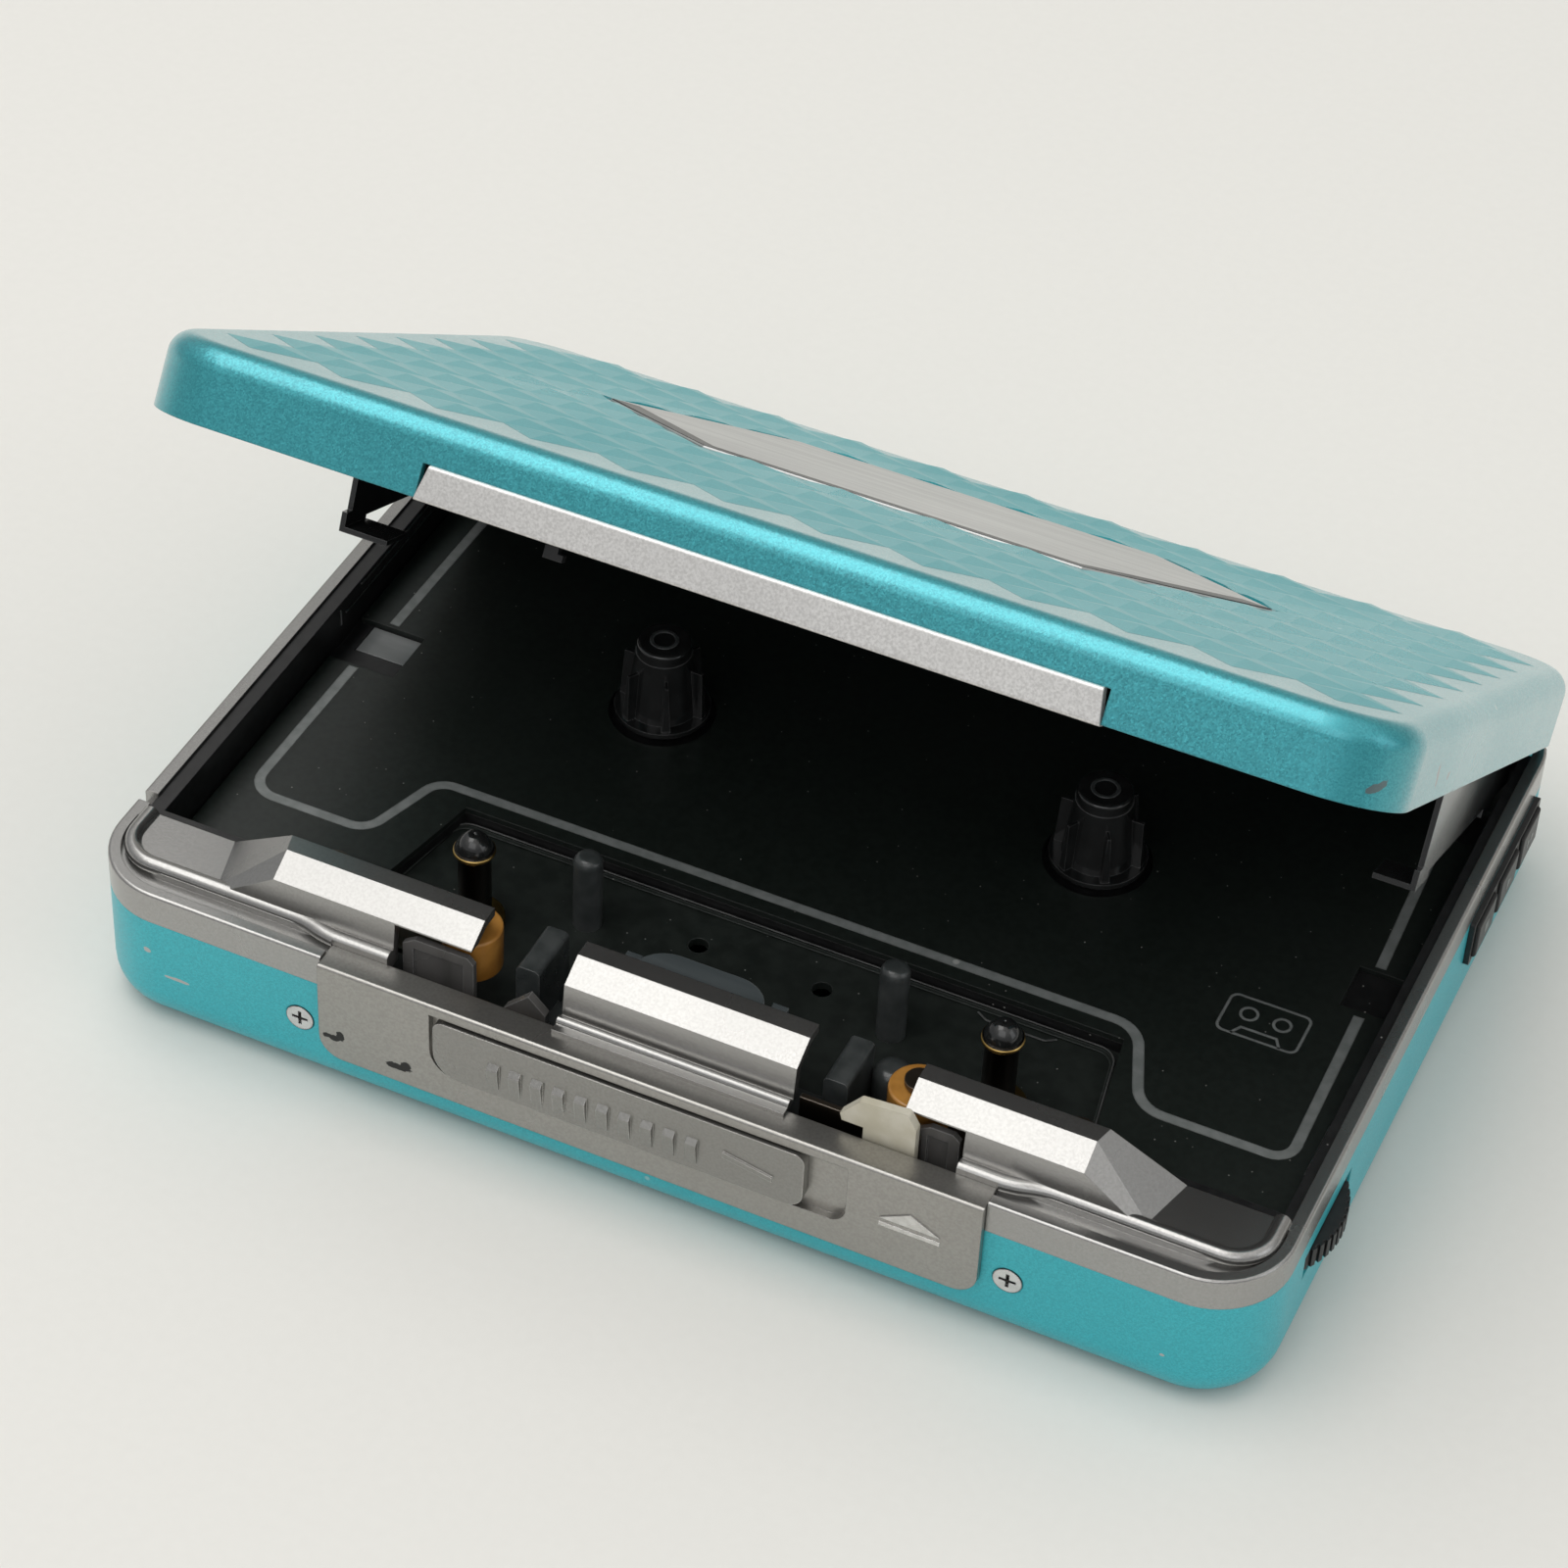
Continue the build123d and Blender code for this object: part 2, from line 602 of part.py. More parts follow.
# Chassis
# The black moulded frame under the deck: floor, side walls, hinge ears, screw pillars and the
# ribs of the battery bay.
chassis_inset = shell_wall + free_gap
bay_end = battery_x + battery_length + 1.0
bay_bottom = 2.2
left_wall = 1.4
right_wall = 0.9
ear_radius = 1.0
pillar_radius = 1.5
well_inner = half_width - rim_width
wall_left = -well_inner + left_wall
wall_right = well_inner - right_wall
wall_top = bezel_top - free_gap
wall_back = hinge_y - 2.0
well_corner_left = -36.6
well_corner_right = 36.6
recess_corner_left = -30.5
recess_corner_right = 32.0
recess_front_left = -34.2
recess_front_right = 34.9
recess_back = front + 26.2
recess_points = [(recess_corner_left, recess_back), (recess_corner_right, recess_back),
                 (recess_front_right, shelf_back - 1), (recess_front_left, shelf_back - 1)]
reel_plate_bottom = chassis_base - 3.4
reel_plate_top = reel_plate_bottom + deck_sheet
pillar_left = spindle_points[0][0] - 11.2
pillar_right = spindle_points[1][0] + 11.3
pillar_ys = (reel_y - 4.8, reel_y + 5.2)
idler_x = spindle_points[1][0] + 14.3
idler_y = reel_y - 14.8
pulley_bottom = recess_floor - 5.8
pulley_top = pulley_bottom + 1.5
lip_ends = ((hinge_y - 34.8, hinge_y - 30.6), (hinge_y - 10.8, hinge_y - 6.8))
lip_bottom = chassis_floor + slip
ear_left = (wall_left + 0.2, wall_left + 0.75)
ear_right = (wall_right - 0.45, wall_right)
holder_left = ear_left[1] + 0.15
holder_right = ear_right[0] - 0.15
lip_left = holder_left + 4.8
lip_right = holder_right - 3.8
rest_ys = (lip_ends[0][0] + 2.0, lip_ends[0][0] + 5.5)

with BuildPart() as chassis:
    with BuildSketch(Plane.XY.offset(chassis_base)):
        RectangleRounded(case_width - 2 * chassis_inset, case_depth - 2 * chassis_inset,
                         corner_radius - chassis_inset)
        with Locations((0, shelf_back - 10)):
            Rectangle(case_width, 20, mode=Mode.SUBTRACT)
    extrude(amount=floor_wall)
    # side walls of the well and the low front walls beside the shelves
    block(-well_inner, wall_left, shelf_back, wall_back, chassis_base, wall_top)
    block(wall_right, well_inner, shelf_back, wall_back, chassis_base, wall_top)
    block(wall_left - 0.2, well_corner_left, shelf_back, shelf_back + 0.9, chassis_base, wall_top)
    block(well_corner_right, wall_right + 0.2, shelf_back, shelf_back + 0.9, chassis_base, wall_top)
    # hinge ears
    for x0, x1 in (ear_left, ear_right):
        block(x0, x1, hinge_y - 2.4, hinge_y + 0.4, chassis_base, hinge_z)
        rod(x0, x1, hinge_y, hinge_z, ear_radius)
        rod(x0 - 1, x1 + 1, hinge_y, hinge_z, hinge_pin_radius, mode=Mode.SUBTRACT)
    # pillars
    for x in (-foot_screw_x, foot_screw_x):
        disc(x, foot_screw_y, shell_wall, chassis_base + 0.1, pillar_radius)
        disc(x, foot_screw_y, 0, 7, screw_hole, mode=Mode.SUBTRACT)
    for x in (pillar_left, pillar_right):
        for y in pillar_ys:
            disc(x, y, reel_plate_top, chassis_base + 0.1, pillar_radius)
    disc(idler_x, idler_y, pulley_bottom - 0.3, chassis_base + 0.1, 1.0)
    # ribs of the battery bay
    block(battery_x, bay_end, battery_y - 0.5, battery_y - 0.1, bay_bottom, chassis_base + 0.1)
    block(battery_x, bay_end, battery_y + battery_width + 0.1, battery_y + battery_width + 0.7, bay_bottom,
          chassis_base + 0.1)
    # recess for the tape head, open to the steel plate below
    slab(recess_points, chassis_base - 1, chassis_floor + 0.1, mode=Mode.SUBTRACT)
    for x, y in spindle_points:
        disc(x, y, chassis_base - 1, chassis_floor + 1, 3.4, mode=Mode.SUBTRACT)
    # room for the volume wheel and the side keys
    disc(wheel_x, wheel_y, chassis_base - 1, chassis_floor + 0.05, wheel_radius + free_gap,
         mode=Mode.SUBTRACT)
    block(half_width - 1.8, half_width, key_positions[0] - key_length, key_positions[-1] + key_length,
          chassis_base - 1, seam_height - 0.1, mode=Mode.SUBTRACT)
    # seats for the rests of the cassette holder
    block(lip_left - 4.2, lip_left + 1.0, rest_ys[0] - 0.1, rest_ys[1] + 0.1, chassis_floor - 0.5,
          chassis_floor + 1, mode=Mode.SUBTRACT)
finish(chassis, "chassis")

# Holder rest
# A grey pad let into the deck where the left lip of the cassette holder lands.
with BuildPart() as holder_rest:
    block(lip_left - 4.1, lip_left + 0.9, rest_ys[0], rest_ys[1], chassis_floor - 0.5, chassis_floor)
finish(holder_rest, "holder_rest")

# Deck plate
# The flat black plate that the cassette lies on, with its printed guide line.
deck_left = wall_left + 0.2
deck_right = wall_right - 0.2
deck_back = hinge_y - 2.6
spindle_hole = 4.9

with BuildPart() as deck_plate:
    block(deck_left, deck_right, shelf_back + 0.9, deck_back, chassis_floor, deck_top)
    slab(recess_points, chassis_floor - 1, deck_top + 1, mode=Mode.SUBTRACT)
    for x, y in spindle_points:
        disc(x, y, chassis_floor - 1, deck_top + 1, spindle_hole, mode=Mode.SUBTRACT)
    for y0, y1 in lip_ends:
        block(deck_left - 1, lip_left + 1.1, y0 - 0.5, y1 + 1.4, chassis_floor - 1, deck_top + 1,
              mode=Mode.SUBTRACT)
        block(lip_right - 0.5, deck_right + 1, y0 - 0.5, y1 + 0.5, chassis_floor - 1, deck_top + 1,
              mode=Mode.SUBTRACT)
finish(deck_plate, "deck_plate")

# Mechanism plate
# The steel plate at the bottom of the recess. The posts of the pinch arms are riveted to it.
mech_left = -36.0
mech_right = 37.0
motor_x = mech_x
motor_y = reel_y - 7.8
motor_radius = 8.5
jack_half = 3.0
capstan_y = front + 15.5
capstan_points = ((-24.0, capstan_y), (24.9, capstan_y))
bush_radius = 2.6
arm_post_y = front + 7.8
arm_posts = ((-33.6, arm_post_y), (34.5, arm_post_y))
arm_post_radius = 1.0
arm_post_top = recess_floor + 9.2
mech_front = front + 2.0
mech_back = front + 27.5
rivet_y = front + 21.6
rivet_hole = 0.9

with BuildPart() as mech_plate:
    block(mech_left, mech_right, mech_front, mech_back, recess_floor - steel_sheet, recess_floor)
    # room for the motor, the volume wheel and the headphone socket beside the plate
    disc(motor_x, motor_y, 0, 12, motor_radius + free_gap, mode=Mode.SUBTRACT)
    disc(wheel_x, wheel_y, 0, 12, wheel_radius + free_gap, mode=Mode.SUBTRACT)
    block(-half_width, -half_width + jack_length + free_gap, jack_y - jack_half - free_gap,
          jack_y + jack_half + free_gap, 0, recess_floor + 1, mode=Mode.SUBTRACT)
    for x, y in capstan_points:
        disc(x, y, 0, 12, bush_radius, mode=Mode.SUBTRACT)
    for x in (-5.5, 6.2):
        disc(x, rivet_y, 0, 12, rivet_hole, mode=Mode.SUBTRACT)
    for x, y in arm_posts:
        disc(x, y, recess_floor - 0.1, arm_post_top, arm_post_radius)
finish(mech_plate, "mech_plate")

# Guide posts
# Two round posts that locate the cassette, and a short stub beside the tape path.
guide_points = ((-15.3, front + 19.8), (13.5, front + 19.6))
guide_post_radius = 1.3
guide_post_top = recess_floor + 8.0
stub_x = 17.0
stub_y = front + 11.6
stub_radius = 1.7
stub_top = recess_floor + 5.0


def round_post(x, y, top, radius):
    with BuildPart() as post:
        disc(x, y, recess_floor, top, radius)
        fillet(post.faces().sort_by(Axis.Z)[-1].edges(), radius * 0.7)
    return post.part


with BuildPart() as guide_posts:
    for x, y in guide_points:
        add(round_post(x, y, guide_post_top, guide_post_radius))
    add(round_post(stub_x, stub_y, stub_top, stub_radius))
finish(guide_posts, "guide_posts")

# Capstan bushes
# Flanged bronze bearings pressed into the steel plate.
capstan_radius = 1.45

with BuildPart() as capstan_bushes:
    for x, y in capstan_points:
        disc(x, y, recess_floor - steel_sheet - 1.2, recess_floor + 0.8, bush_radius)
        disc(x, y, 0, 12, capstan_radius + slip, mode=Mode.SUBTRACT)
finish(capstan_bushes, "capstan_bushes")

# Capstans
# Ground shafts with a brass ring and a black tapered tip, each pressed into a flywheel.
flywheel_radius = 10.5
flywheel_hub = 3.0
flywheel_bottom = recess_floor - 6.0
flywheel_top = flywheel_bottom + 2.0
shaft_top = recess_floor + 8.2
ring_top = shaft_top + 0.5
tip_top = ring_top + 1.6


def capstan(x, y, name):
    with BuildPart() as shaft:
        disc(x, y, flywheel_bottom - 0.4, shaft_top, capstan_radius)
        disc(x, y, shaft_top, ring_top, capstan_radius + 0.3)
        with Locations((x, y, (ring_top + tip_top) / 2)):
            Cone(capstan_radius + 0.15, 0.45, tip_top - ring_top)
    finish(shaft, name)


def flywheel(x, y, name):
    with BuildPart() as wheel:
        disc(x, y, flywheel_bottom, flywheel_top, flywheel_radius)
        disc(x, y, flywheel_bottom - 1, flywheel_bottom + 0.5, flywheel_radius - 1.6, mode=Mode.SUBTRACT)
        disc(x, y, flywheel_bottom, flywheel_top, flywheel_hub)
        disc(x, y, flywheel_bottom - 2, flywheel_top + 1, capstan_radius, mode=Mode.SUBTRACT)
    finish(wheel, name)


for side, (x, y) in zip(("left", "right"), capstan_points):
    capstan(x, y, "capstan_" + side)
    flywheel(x, y, "flywheel_" + side)

# Motor
# A flat motor under the deck between the reels, and the pulley on its shaft.
motor_bottom = pulley_top + air_gap
motor_shaft = 0.75
pulley_radius = 2.2
idler_radius = 2.5

with BuildPart() as motor:
    disc(motor_x, motor_y, motor_bottom, chassis_base, motor_radius)
    fillet(motor.faces().sort_by(Axis.Z)[0].edges(), 0.5)
    disc(motor_x, motor_y, motor_bottom - 0.1, motor_bottom + 2.2, motor_shaft + slip, mode=Mode.SUBTRACT)
finish(motor, "motor")


def pulley(x, y, radius, bore):
    """A small belt pulley with two flanges."""
    disc(x, y, pulley_bottom, pulley_top, radius)
    disc(x, y, pulley_bottom, pulley_bottom + 0.2, radius + 0.5)
    disc(x, y, pulley_top - 0.2, pulley_top, radius + 0.5)
    if bore:
        disc(x, y, pulley_bottom - 1, pulley_top + 1, bore, mode=Mode.SUBTRACT)


with BuildPart() as motor_pulley:
    pulley(motor_x, motor_y, pulley_radius, 0)
    disc(motor_x, motor_y, pulley_top - 0.1, motor_bottom + 1.8, motor_shaft)
finish(motor_pulley, "motor_pulley")

with BuildPart() as belt_idler:
    pulley(idler_x, idler_y, idler_radius, 1.0 + slip)
finish(belt_idler, "belt_idler")

# Drive belt
# One flat rubber belt from the motor round both flywheels. It passes the right flywheel on its
# other side, so the two capstans turn in opposite directions.
belt_width = 0.8
belt_thickness = 0.5
belt_z = pulley_bottom + 0.35
belt_stand = belt_thickness / 2 + slip
belt_wheels = ((motor_x, motor_y, pulley_radius + belt_stand),
               (capstan_points[0][0], capstan_points[0][1], flywheel_radius + belt_stand),
               (capstan_points[1][0], capstan_points[1][1], -flywheel_radius - belt_stand),
               (idler_x, idler_y, idler_radius + belt_stand))


def tangent(first, second):
    """Where the belt leaves one wheel and where it meets the next."""
    dx = second[0] - first[0]
    dy = second[1] - first[1]
    span = math.hypot(dx, dy)
    along = (first[2] - second[2]) / span
    across = math.sqrt(1 - along * along)
    nx = along * dx / span + across * dy / span
    ny = along * dy / span - across * dx / span
    return ((first[0] + first[2] * nx, first[1] + first[2] * ny),
            (second[0] + second[2] * nx, second[1] + second[2] * ny))


wheel_count = len(belt_wheels)
spans = [tangent(belt_wheels[index], belt_wheels[(index + 1) % wheel_count])
         for index in range(wheel_count)]


def arc_middle(wheel, enter, leave):
    """The point half way round the wheel between two belt points."""
    mx = (enter[0] + leave[0]) / 2 - wheel[0]
    my = (enter[1] + leave[1]) / 2 - wheel[1]
    size = math.hypot(mx, my)
    radius = abs(wheel[2])
    return (wheel[0] + radius * mx / size, wheel[1] + radius * my / size)


with BuildPart() as drive_belt:
    with BuildSketch(Plane.XY.offset(belt_z)):
        with BuildLine() as belt_line:
            for index in range(wheel_count):
                leave, meet = spans[index]
                following = spans[(index + 1) % wheel_count][0]
                Line(leave, meet)
                ThreePointArc(meet, arc_middle(belt_wheels[(index + 1) % wheel_count], meet, following),
                              following)
        make_face()
        offset(amount=belt_thickness / 2)
        with BuildLine(mode=Mode.PRIVATE) as inner_line:
            add(belt_line.line)
        add(offset(make_face(inner_line.line, mode=Mode.PRIVATE), amount=-belt_thickness / 2,
                   mode=Mode.PRIVATE), mode=Mode.SUBTRACT)
    extrude(amount=belt_width)
finish(drive_belt, "drive_belt")

# Reel plate
# A thin steel plate below the deck that carries the posts of the reel spindles.
post_radius = 1.0
post_top = deck_top + 7.2
reel_plate_margin = 2.0

with BuildPart() as reel_plate:
    block(pillar_left - reel_plate_margin, pillar_right + reel_plate_margin, reel_y - 7.8, reel_y + 7.6,
          reel_plate_bottom, reel_plate_top)
    disc(motor_x, motor_y, 0, 12, motor_radius + 0.5, mode=Mode.SUBTRACT)
finish(reel_plate, "reel_plate")

with BuildPart() as spindle_posts:
    for x, y in spindle_points:
        disc(x, y, reel_plate_top, post_top, post_radius)
finish(spindle_posts, "spindle_posts")

# Reel spindles
# Moulded spindles with six driving fins, each in one piece with its gear.
spindle_gear_bottom = reel_plate_top + 0.4
spindle_gear_top = spindle_gear_bottom + 1.6
spindle_gear_radius = 6.9
spindle_gear_teeth = 44
spindle_hub = 2.4
spindle_top = deck_top + 8.4
spindle_cone_top = spindle_top - 1.2
spindle_fin_top = spindle_top - 2.6
spindle_fins = 6
flange_radius = 4.4
flange_bottom = deck_top + 0.4
flange_top = flange_bottom + 0.5


def reel_spindle(x, y, name):
    with BuildPart() as spindle:
        gear(x, y, spindle_gear_bottom, spindle_gear_top, spindle_gear_teeth, spindle_gear_radius,
             post_radius + slip)
        disc(x, y, spindle_gear_top - 0.1, spindle_top - 0.6, spindle_hub)
        disc(x, y, flange_bottom, flange_top, flange_radius)
        with Locations((x, y, (flange_top + spindle_cone_top) / 2)):
            Cone(3.3, 2.6, spindle_cone_top - flange_top)
        disc(x, y, spindle_cone_top - 0.1, spindle_top, 2.5)
        fillet(spindle.faces().sort_by(Axis.Z)[-1].edges(), 0.4)
        with BuildSketch(Plane.XY.offset(flange_top)) as fins:
            with Locations((x, y)):
                with PolarLocations(0, spindle_fins):
                    Polygon((2.0, -0.4), (4.1, -0.4), (4.1, 0.4), (2.0, 0.4), align=None)
        extrude(fins.sketch, amount=spindle_fin_top - flange_top, taper=3)
        disc(x, y, spindle_gear_bottom - 1, post_top + 0.2, post_radius + slip, mode=Mode.SUBTRACT)
    finish(spindle, name)


for side, (x, y) in zip(("left", "right"), spindle_points):
    reel_spindle(x, y, "reel_spindle_" + side)

# Head plate
# A sliding steel plate in the recess. It carries the tape head and the tape guides at its sides.
head_left = -5.5
head_right = 6.5
head_bottom = recess_floor + 3.0
head_top = recess_floor + 9.5
head_face = front + 11.0
head_back = front + 6.0
plate_bottom = recess_floor + slip
plate_top = plate_bottom + 0.7
guide_top = recess_floor + 7.0
guide_left = -15.1
guide_right = 15.3
guide_width = 2.2

with BuildPart() as head_plate:
    block(guide_left, guide_right, head_back - 1, head_back + 3.5, plate_bottom, plate_top)
    block(head_left, head_right, head_back, head_face - 1, plate_top - 0.1, head_bottom)
    for x in (guide_left, guide_right - guide_width):
        block(x, x + guide_width, head_back, head_face + 0.5, plate_bottom, guide_top)
    fillet(head_plate.edges().filter_by(Axis.Y).filter_by_position(Axis.Z, guide_top, guide_top), 0.5)
finish(head_plate, "head_plate")

# Tape head
with BuildPart() as tape_head:
    block(head_left, head_right, head_back, head_face, head_bottom, head_top)
    fillet(tape_head.edges().filter_by(Axis.Z).sort_by(Axis.Y)[-2:], 3.2)
    for z in (head_bottom + 1.0, head_top - 1.4):
        block(head_left - 1.4, head_left, head_face - 2.6, head_face - 0.6, z, z + 0.5)
        block(head_right, head_right + 1.4, head_face - 2.6, head_face - 0.6, z, z + 0.5)
finish(tape_head, "tape_head")

# Pinch arms and rollers
# Each arm turns on a post beside the recess and holds a small rubber roller between two plates.
roller_y = front + 7.6
roller_points = ((-20.0, roller_y), (20.9, roller_y))
roller_radius = 2.6
roller_bottom = recess_floor + 3.8
roller_top = roller_bottom + 4.4
axle_radius = 0.6
arm_boss = 1.9
arm_width = 2.4
arm_bottom = recess_floor + 3.0
arm_top = arm_bottom + 6.0
arm_sheet = 0.5


def pinch_arm(post, roller, name):
    with BuildPart() as arm:
        for z in (arm_bottom, arm_top - arm_sheet):
            with BuildSketch(Plane.XY.offset(z)) as plan:
                with Locations(post):
                    Circle(arm_boss)
                with Locations(roller):
                    Circle(1.3)
                Polygon((post[0], post[1] - arm_width / 2 - 0.1), (roller[0], roller[1] - arm_width / 2),
                        (roller[0], roller[1] + arm_width / 2), (post[0], post[1] + arm_width / 2 + 0.1),
                        align=None)
            extrude(plan.sketch, amount=arm_sheet)
        disc(post[0], post[1], arm_bottom, arm_top, arm_boss)
        disc(roller[0], roller[1], arm_bottom, arm_top, axle_radius)
        disc(post[0], post[1], arm_bottom - 1, arm_top + 1, arm_post_radius + slip, mode=Mode.SUBTRACT)
    finish(arm, name)


def pinch_roller(point, name):
    with BuildPart() as roller:
        disc(point[0], point[1], roller_bottom, roller_top, roller_radius)
        fillet(roller.edges(), 0.25)
        disc(point[0], point[1], roller_bottom - 1, roller_top + 1, axle_radius + slip,
             mode=Mode.SUBTRACT)
    finish(roller, name)


for side, post, point in zip(("left", "right"), arm_posts, roller_points):
    pinch_arm(post, point, "pinch_arm_" + side)
    pinch_roller(point, "pinch_roller_" + side)

# Roller guards
# Two thin smoke-grey plastic guards that stand on the steel plate in front of the pinch rollers and
# show through the notches beside the covers.
guard_front = front + 4.1
guard_thickness = 0.55
guard_window = 0.25
guard_rim = 1.0
guard_foot = 2.4
guard_top = recess_floor + 7.8
guards = ((-24.8, -18.1), (22.2, 26.0))

with BuildPart() as roller_guards:
    for x0, x1 in guards:
        front_profile([(x0, recess_floor), (x1, recess_floor), (x1, guard_top - 0.6), (x1 - 0.6, guard_top),
                       (x0 + 1.2, guard_top), (x0, guard_top - 0.8)],
                      guard_front, guard_front + guard_thickness)
        block(x0 + guard_rim, x1 - guard_rim, guard_front - 1, guard_front + guard_window,
              recess_floor + guard_foot, guard_top - guard_rim, mode=Mode.SUBTRACT)
finish(roller_guards, "roller_guards")

# Circuit board
# It lies on low bosses of the shell, under the mechanism and in front of the battery.
board_margin = 3.0
chip_half = 4.0
chip_points = ((-half_width + 14.0, front + 27.0), (half_width - 12.0, reel_y - 3.8))

with BuildPart() as circuit_board:
    block(-half_width + board_margin, half_width - board_margin, front + 9.0, battery_y - 0.6, board_bottom,
          board_top)
    fillet(circuit_board.edges().filter_by(Axis.Z), 2.0)
    for x, y in chip_points:
        block(x - chip_half, x + chip_half, y - chip_half, y + chip_half, board_top - 0.1, board_top + 1.0)
finish(circuit_board, "circuit_board")

# Volume control
# A knurled wheel that shows at the right front corner, on a small control on the board.
pot_half = 3.5
pot_top = wheel_bottom - 1.2
pot_shaft = 0.9
knurl_count = 60

with BuildPart() as volume_pot:
    block(wheel_x - pot_half, wheel_x + pot_half - 0.6, wheel_y - pot_half, wheel_y + pot_half, board_top,
          pot_top)
    disc(wheel_x, wheel_y, pot_top - 0.1, wheel_bottom, 1.4)
    disc(wheel_x, wheel_y, wheel_bottom - 0.1, wheel_top - 0.4, pot_shaft)
finish(volume_pot, "volume_pot")

with BuildPart() as volume_wheel:
    disc(wheel_x, wheel_y, wheel_bottom, wheel_top, wheel_radius - 0.25)
    with BuildSketch(Plane.XY.offset(wheel_bottom)) as knurl:
        with Locations((wheel_x, wheel_y)):
            with PolarLocations(wheel_radius - 0.3, knurl_count):
                Rectangle(0.6, 0.45)
    extrude(knurl.sketch, amount=wheel_top - wheel_bottom)
    disc(wheel_x, wheel_y, wheel_bottom - 1, wheel_top - 0.4 + slip, pot_shaft + slip, mode=Mode.SUBTRACT)
finish(volume_wheel, "volume_wheel")

# Headphone jack
with BuildPart() as headphone_jack:
    block(-half_width + shell_wall + 0.1, -half_width + jack_length, jack_y - jack_half,
          jack_y + jack_half, jack_z - jack_half - 0.1, chassis_base - 0.1)
    rod(-half_width - 0.2, -half_width + 1.5, jack_y, jack_z, jack_nose)
    rod(-half_width - 1.2, -half_width + jack_length - 1.5, jack_y, jack_z, jack_bore, mode=Mode.SUBTRACT)
finish(headphone_jack, "headphone_jack")

# Battery
# A flat rechargeable cell and the spring contact at its inner end.
with BuildPart() as battery:
    block(battery_x, battery_x + battery_length, battery_y, battery_y + battery_width, battery_z,
          battery_z + battery_height)
    fillet(battery.edges().filter_by(Axis.X), 1.2)
finish(battery, "battery")

contact_x = battery_x + battery_length

contact_points = [(contact_x, battery_z + 2.35), (contact_x + 0.6, battery_z + 0.95),
                  (contact_x + 0.9, battery_z + 0.95), (contact_x + 0.9, battery_z + 6.35),
                  (contact_x + 0.6, battery_z + 6.35), (contact_x + 0.6, battery_z + 4.15),
                  (contact_x, battery_z + 3.15)]
contact_width = 4.0

with BuildPart() as battery_contacts:
    front_profile(contact_points, battery_y + 3, battery_y + 3 + contact_width)
    front_profile(contact_points, battery_y + battery_width - 3 - contact_width,
                  battery_y + battery_width - 3)
    block(contact_x + 0.9, contact_x + 1.3, battery_y, battery_y + battery_width, board_bottom, chassis_base)
finish(battery_contacts, "battery_contacts")

# Side keys
# Three flat keys in a raised surround on the right wall.
key_left = half_width + key_proud - key_thickness

with BuildPart() as key_plate:
    block(half_width, half_width + key_plate_proud, key_positions[0] - key_length / 2 - key_plate_margin,
          key_positions[-1] + key_length / 2 + key_plate_margin, key_z - key_height / 2 - key_plate_margin,
          seam_height - 0.05)
    fillet(key_plate.edges().filter_by(Axis.X), 0.4)
    for y in key_positions:
        block(half_width - 1, half_width + 2, y - key_length / 2 - air_gap, y + key_length / 2 + air_gap,
              key_z - key_height / 2 - air_gap, key_z + key_height / 2 + air_gap, mode=Mode.SUBTRACT)
finish(key_plate, "key_plate")


def side_key(y, name):
    with BuildPart() as key:
        block(key_left, half_width + key_proud, y - key_length / 2, y + key_length / 2,
              key_z - key_height / 2, key_z + key_height / 2)
        fillet(key.faces().sort_by(Axis.X)[-1].edges(), 0.25)
        block(key_left, half_width - shell_wall - 0.05, y - key_length / 2 - 0.4, y + key_length / 2 + 0.4,
              key_z - key_height / 2, key_z + key_height / 2)
    finish(key, name)


for name, y in zip(("key_stop", "key_play", "key_wind"), key_positions):
    side_key(y, name)

# Hold switch
with BuildPart() as hold_switch:
    block(hold_x - hold_length / 2, hold_x + hold_length / 2, half_depth - 1.2, half_depth + 0.5,
          hold_z - hold_height / 2, hold_z + hold_height / 2)
    fillet(hold_switch.faces().sort_by(Axis.Y)[-1].edges(), 0.3)
    block(hold_x - hold_length / 2 - 1, hold_x + hold_length / 2 + 1, half_depth - 1.4,
          half_depth - shell_wall - 0.05, hold_z - hold_height / 2 - 0.8, hold_z + hold_height / 2 + 0.8)
finish(hold_switch, "hold_switch")

# Case screws
# Small cross-head screws, two in the front and four in the underside.


def screw(length):
    with BuildPart() as body:
        with Locations((0, 0, -0.35)):
            Cone(screw_hole - 0.15, screw_head, 0.7)
        with Locations((0, 0, -length / 2)):
            Cylinder(screw_hole - 0.15, length)
        for angle in (0, 90):
            with Locations(Location((0, 0, 0), (0, 0, angle))):
                Box(1.5, 0.3, 0.6, mode=Mode.SUBTRACT)
    return body.part


with BuildPart() as case_screws:
    for x in (-case_screw_x, case_screw_x):
        with Locations(Location((x, -half_depth - 0.05, case_screw_z), (90, 0, 0))):
            add(screw(2.6))
    for x in (-foot_screw_x, foot_screw_x):
        for y in (foot_screw_y_front, foot_screw_y):
            with Locations(Location((x, y, 0.02), (180, 0, 0))):
                add(screw(6.0))
finish(case_screws, "case_screws")

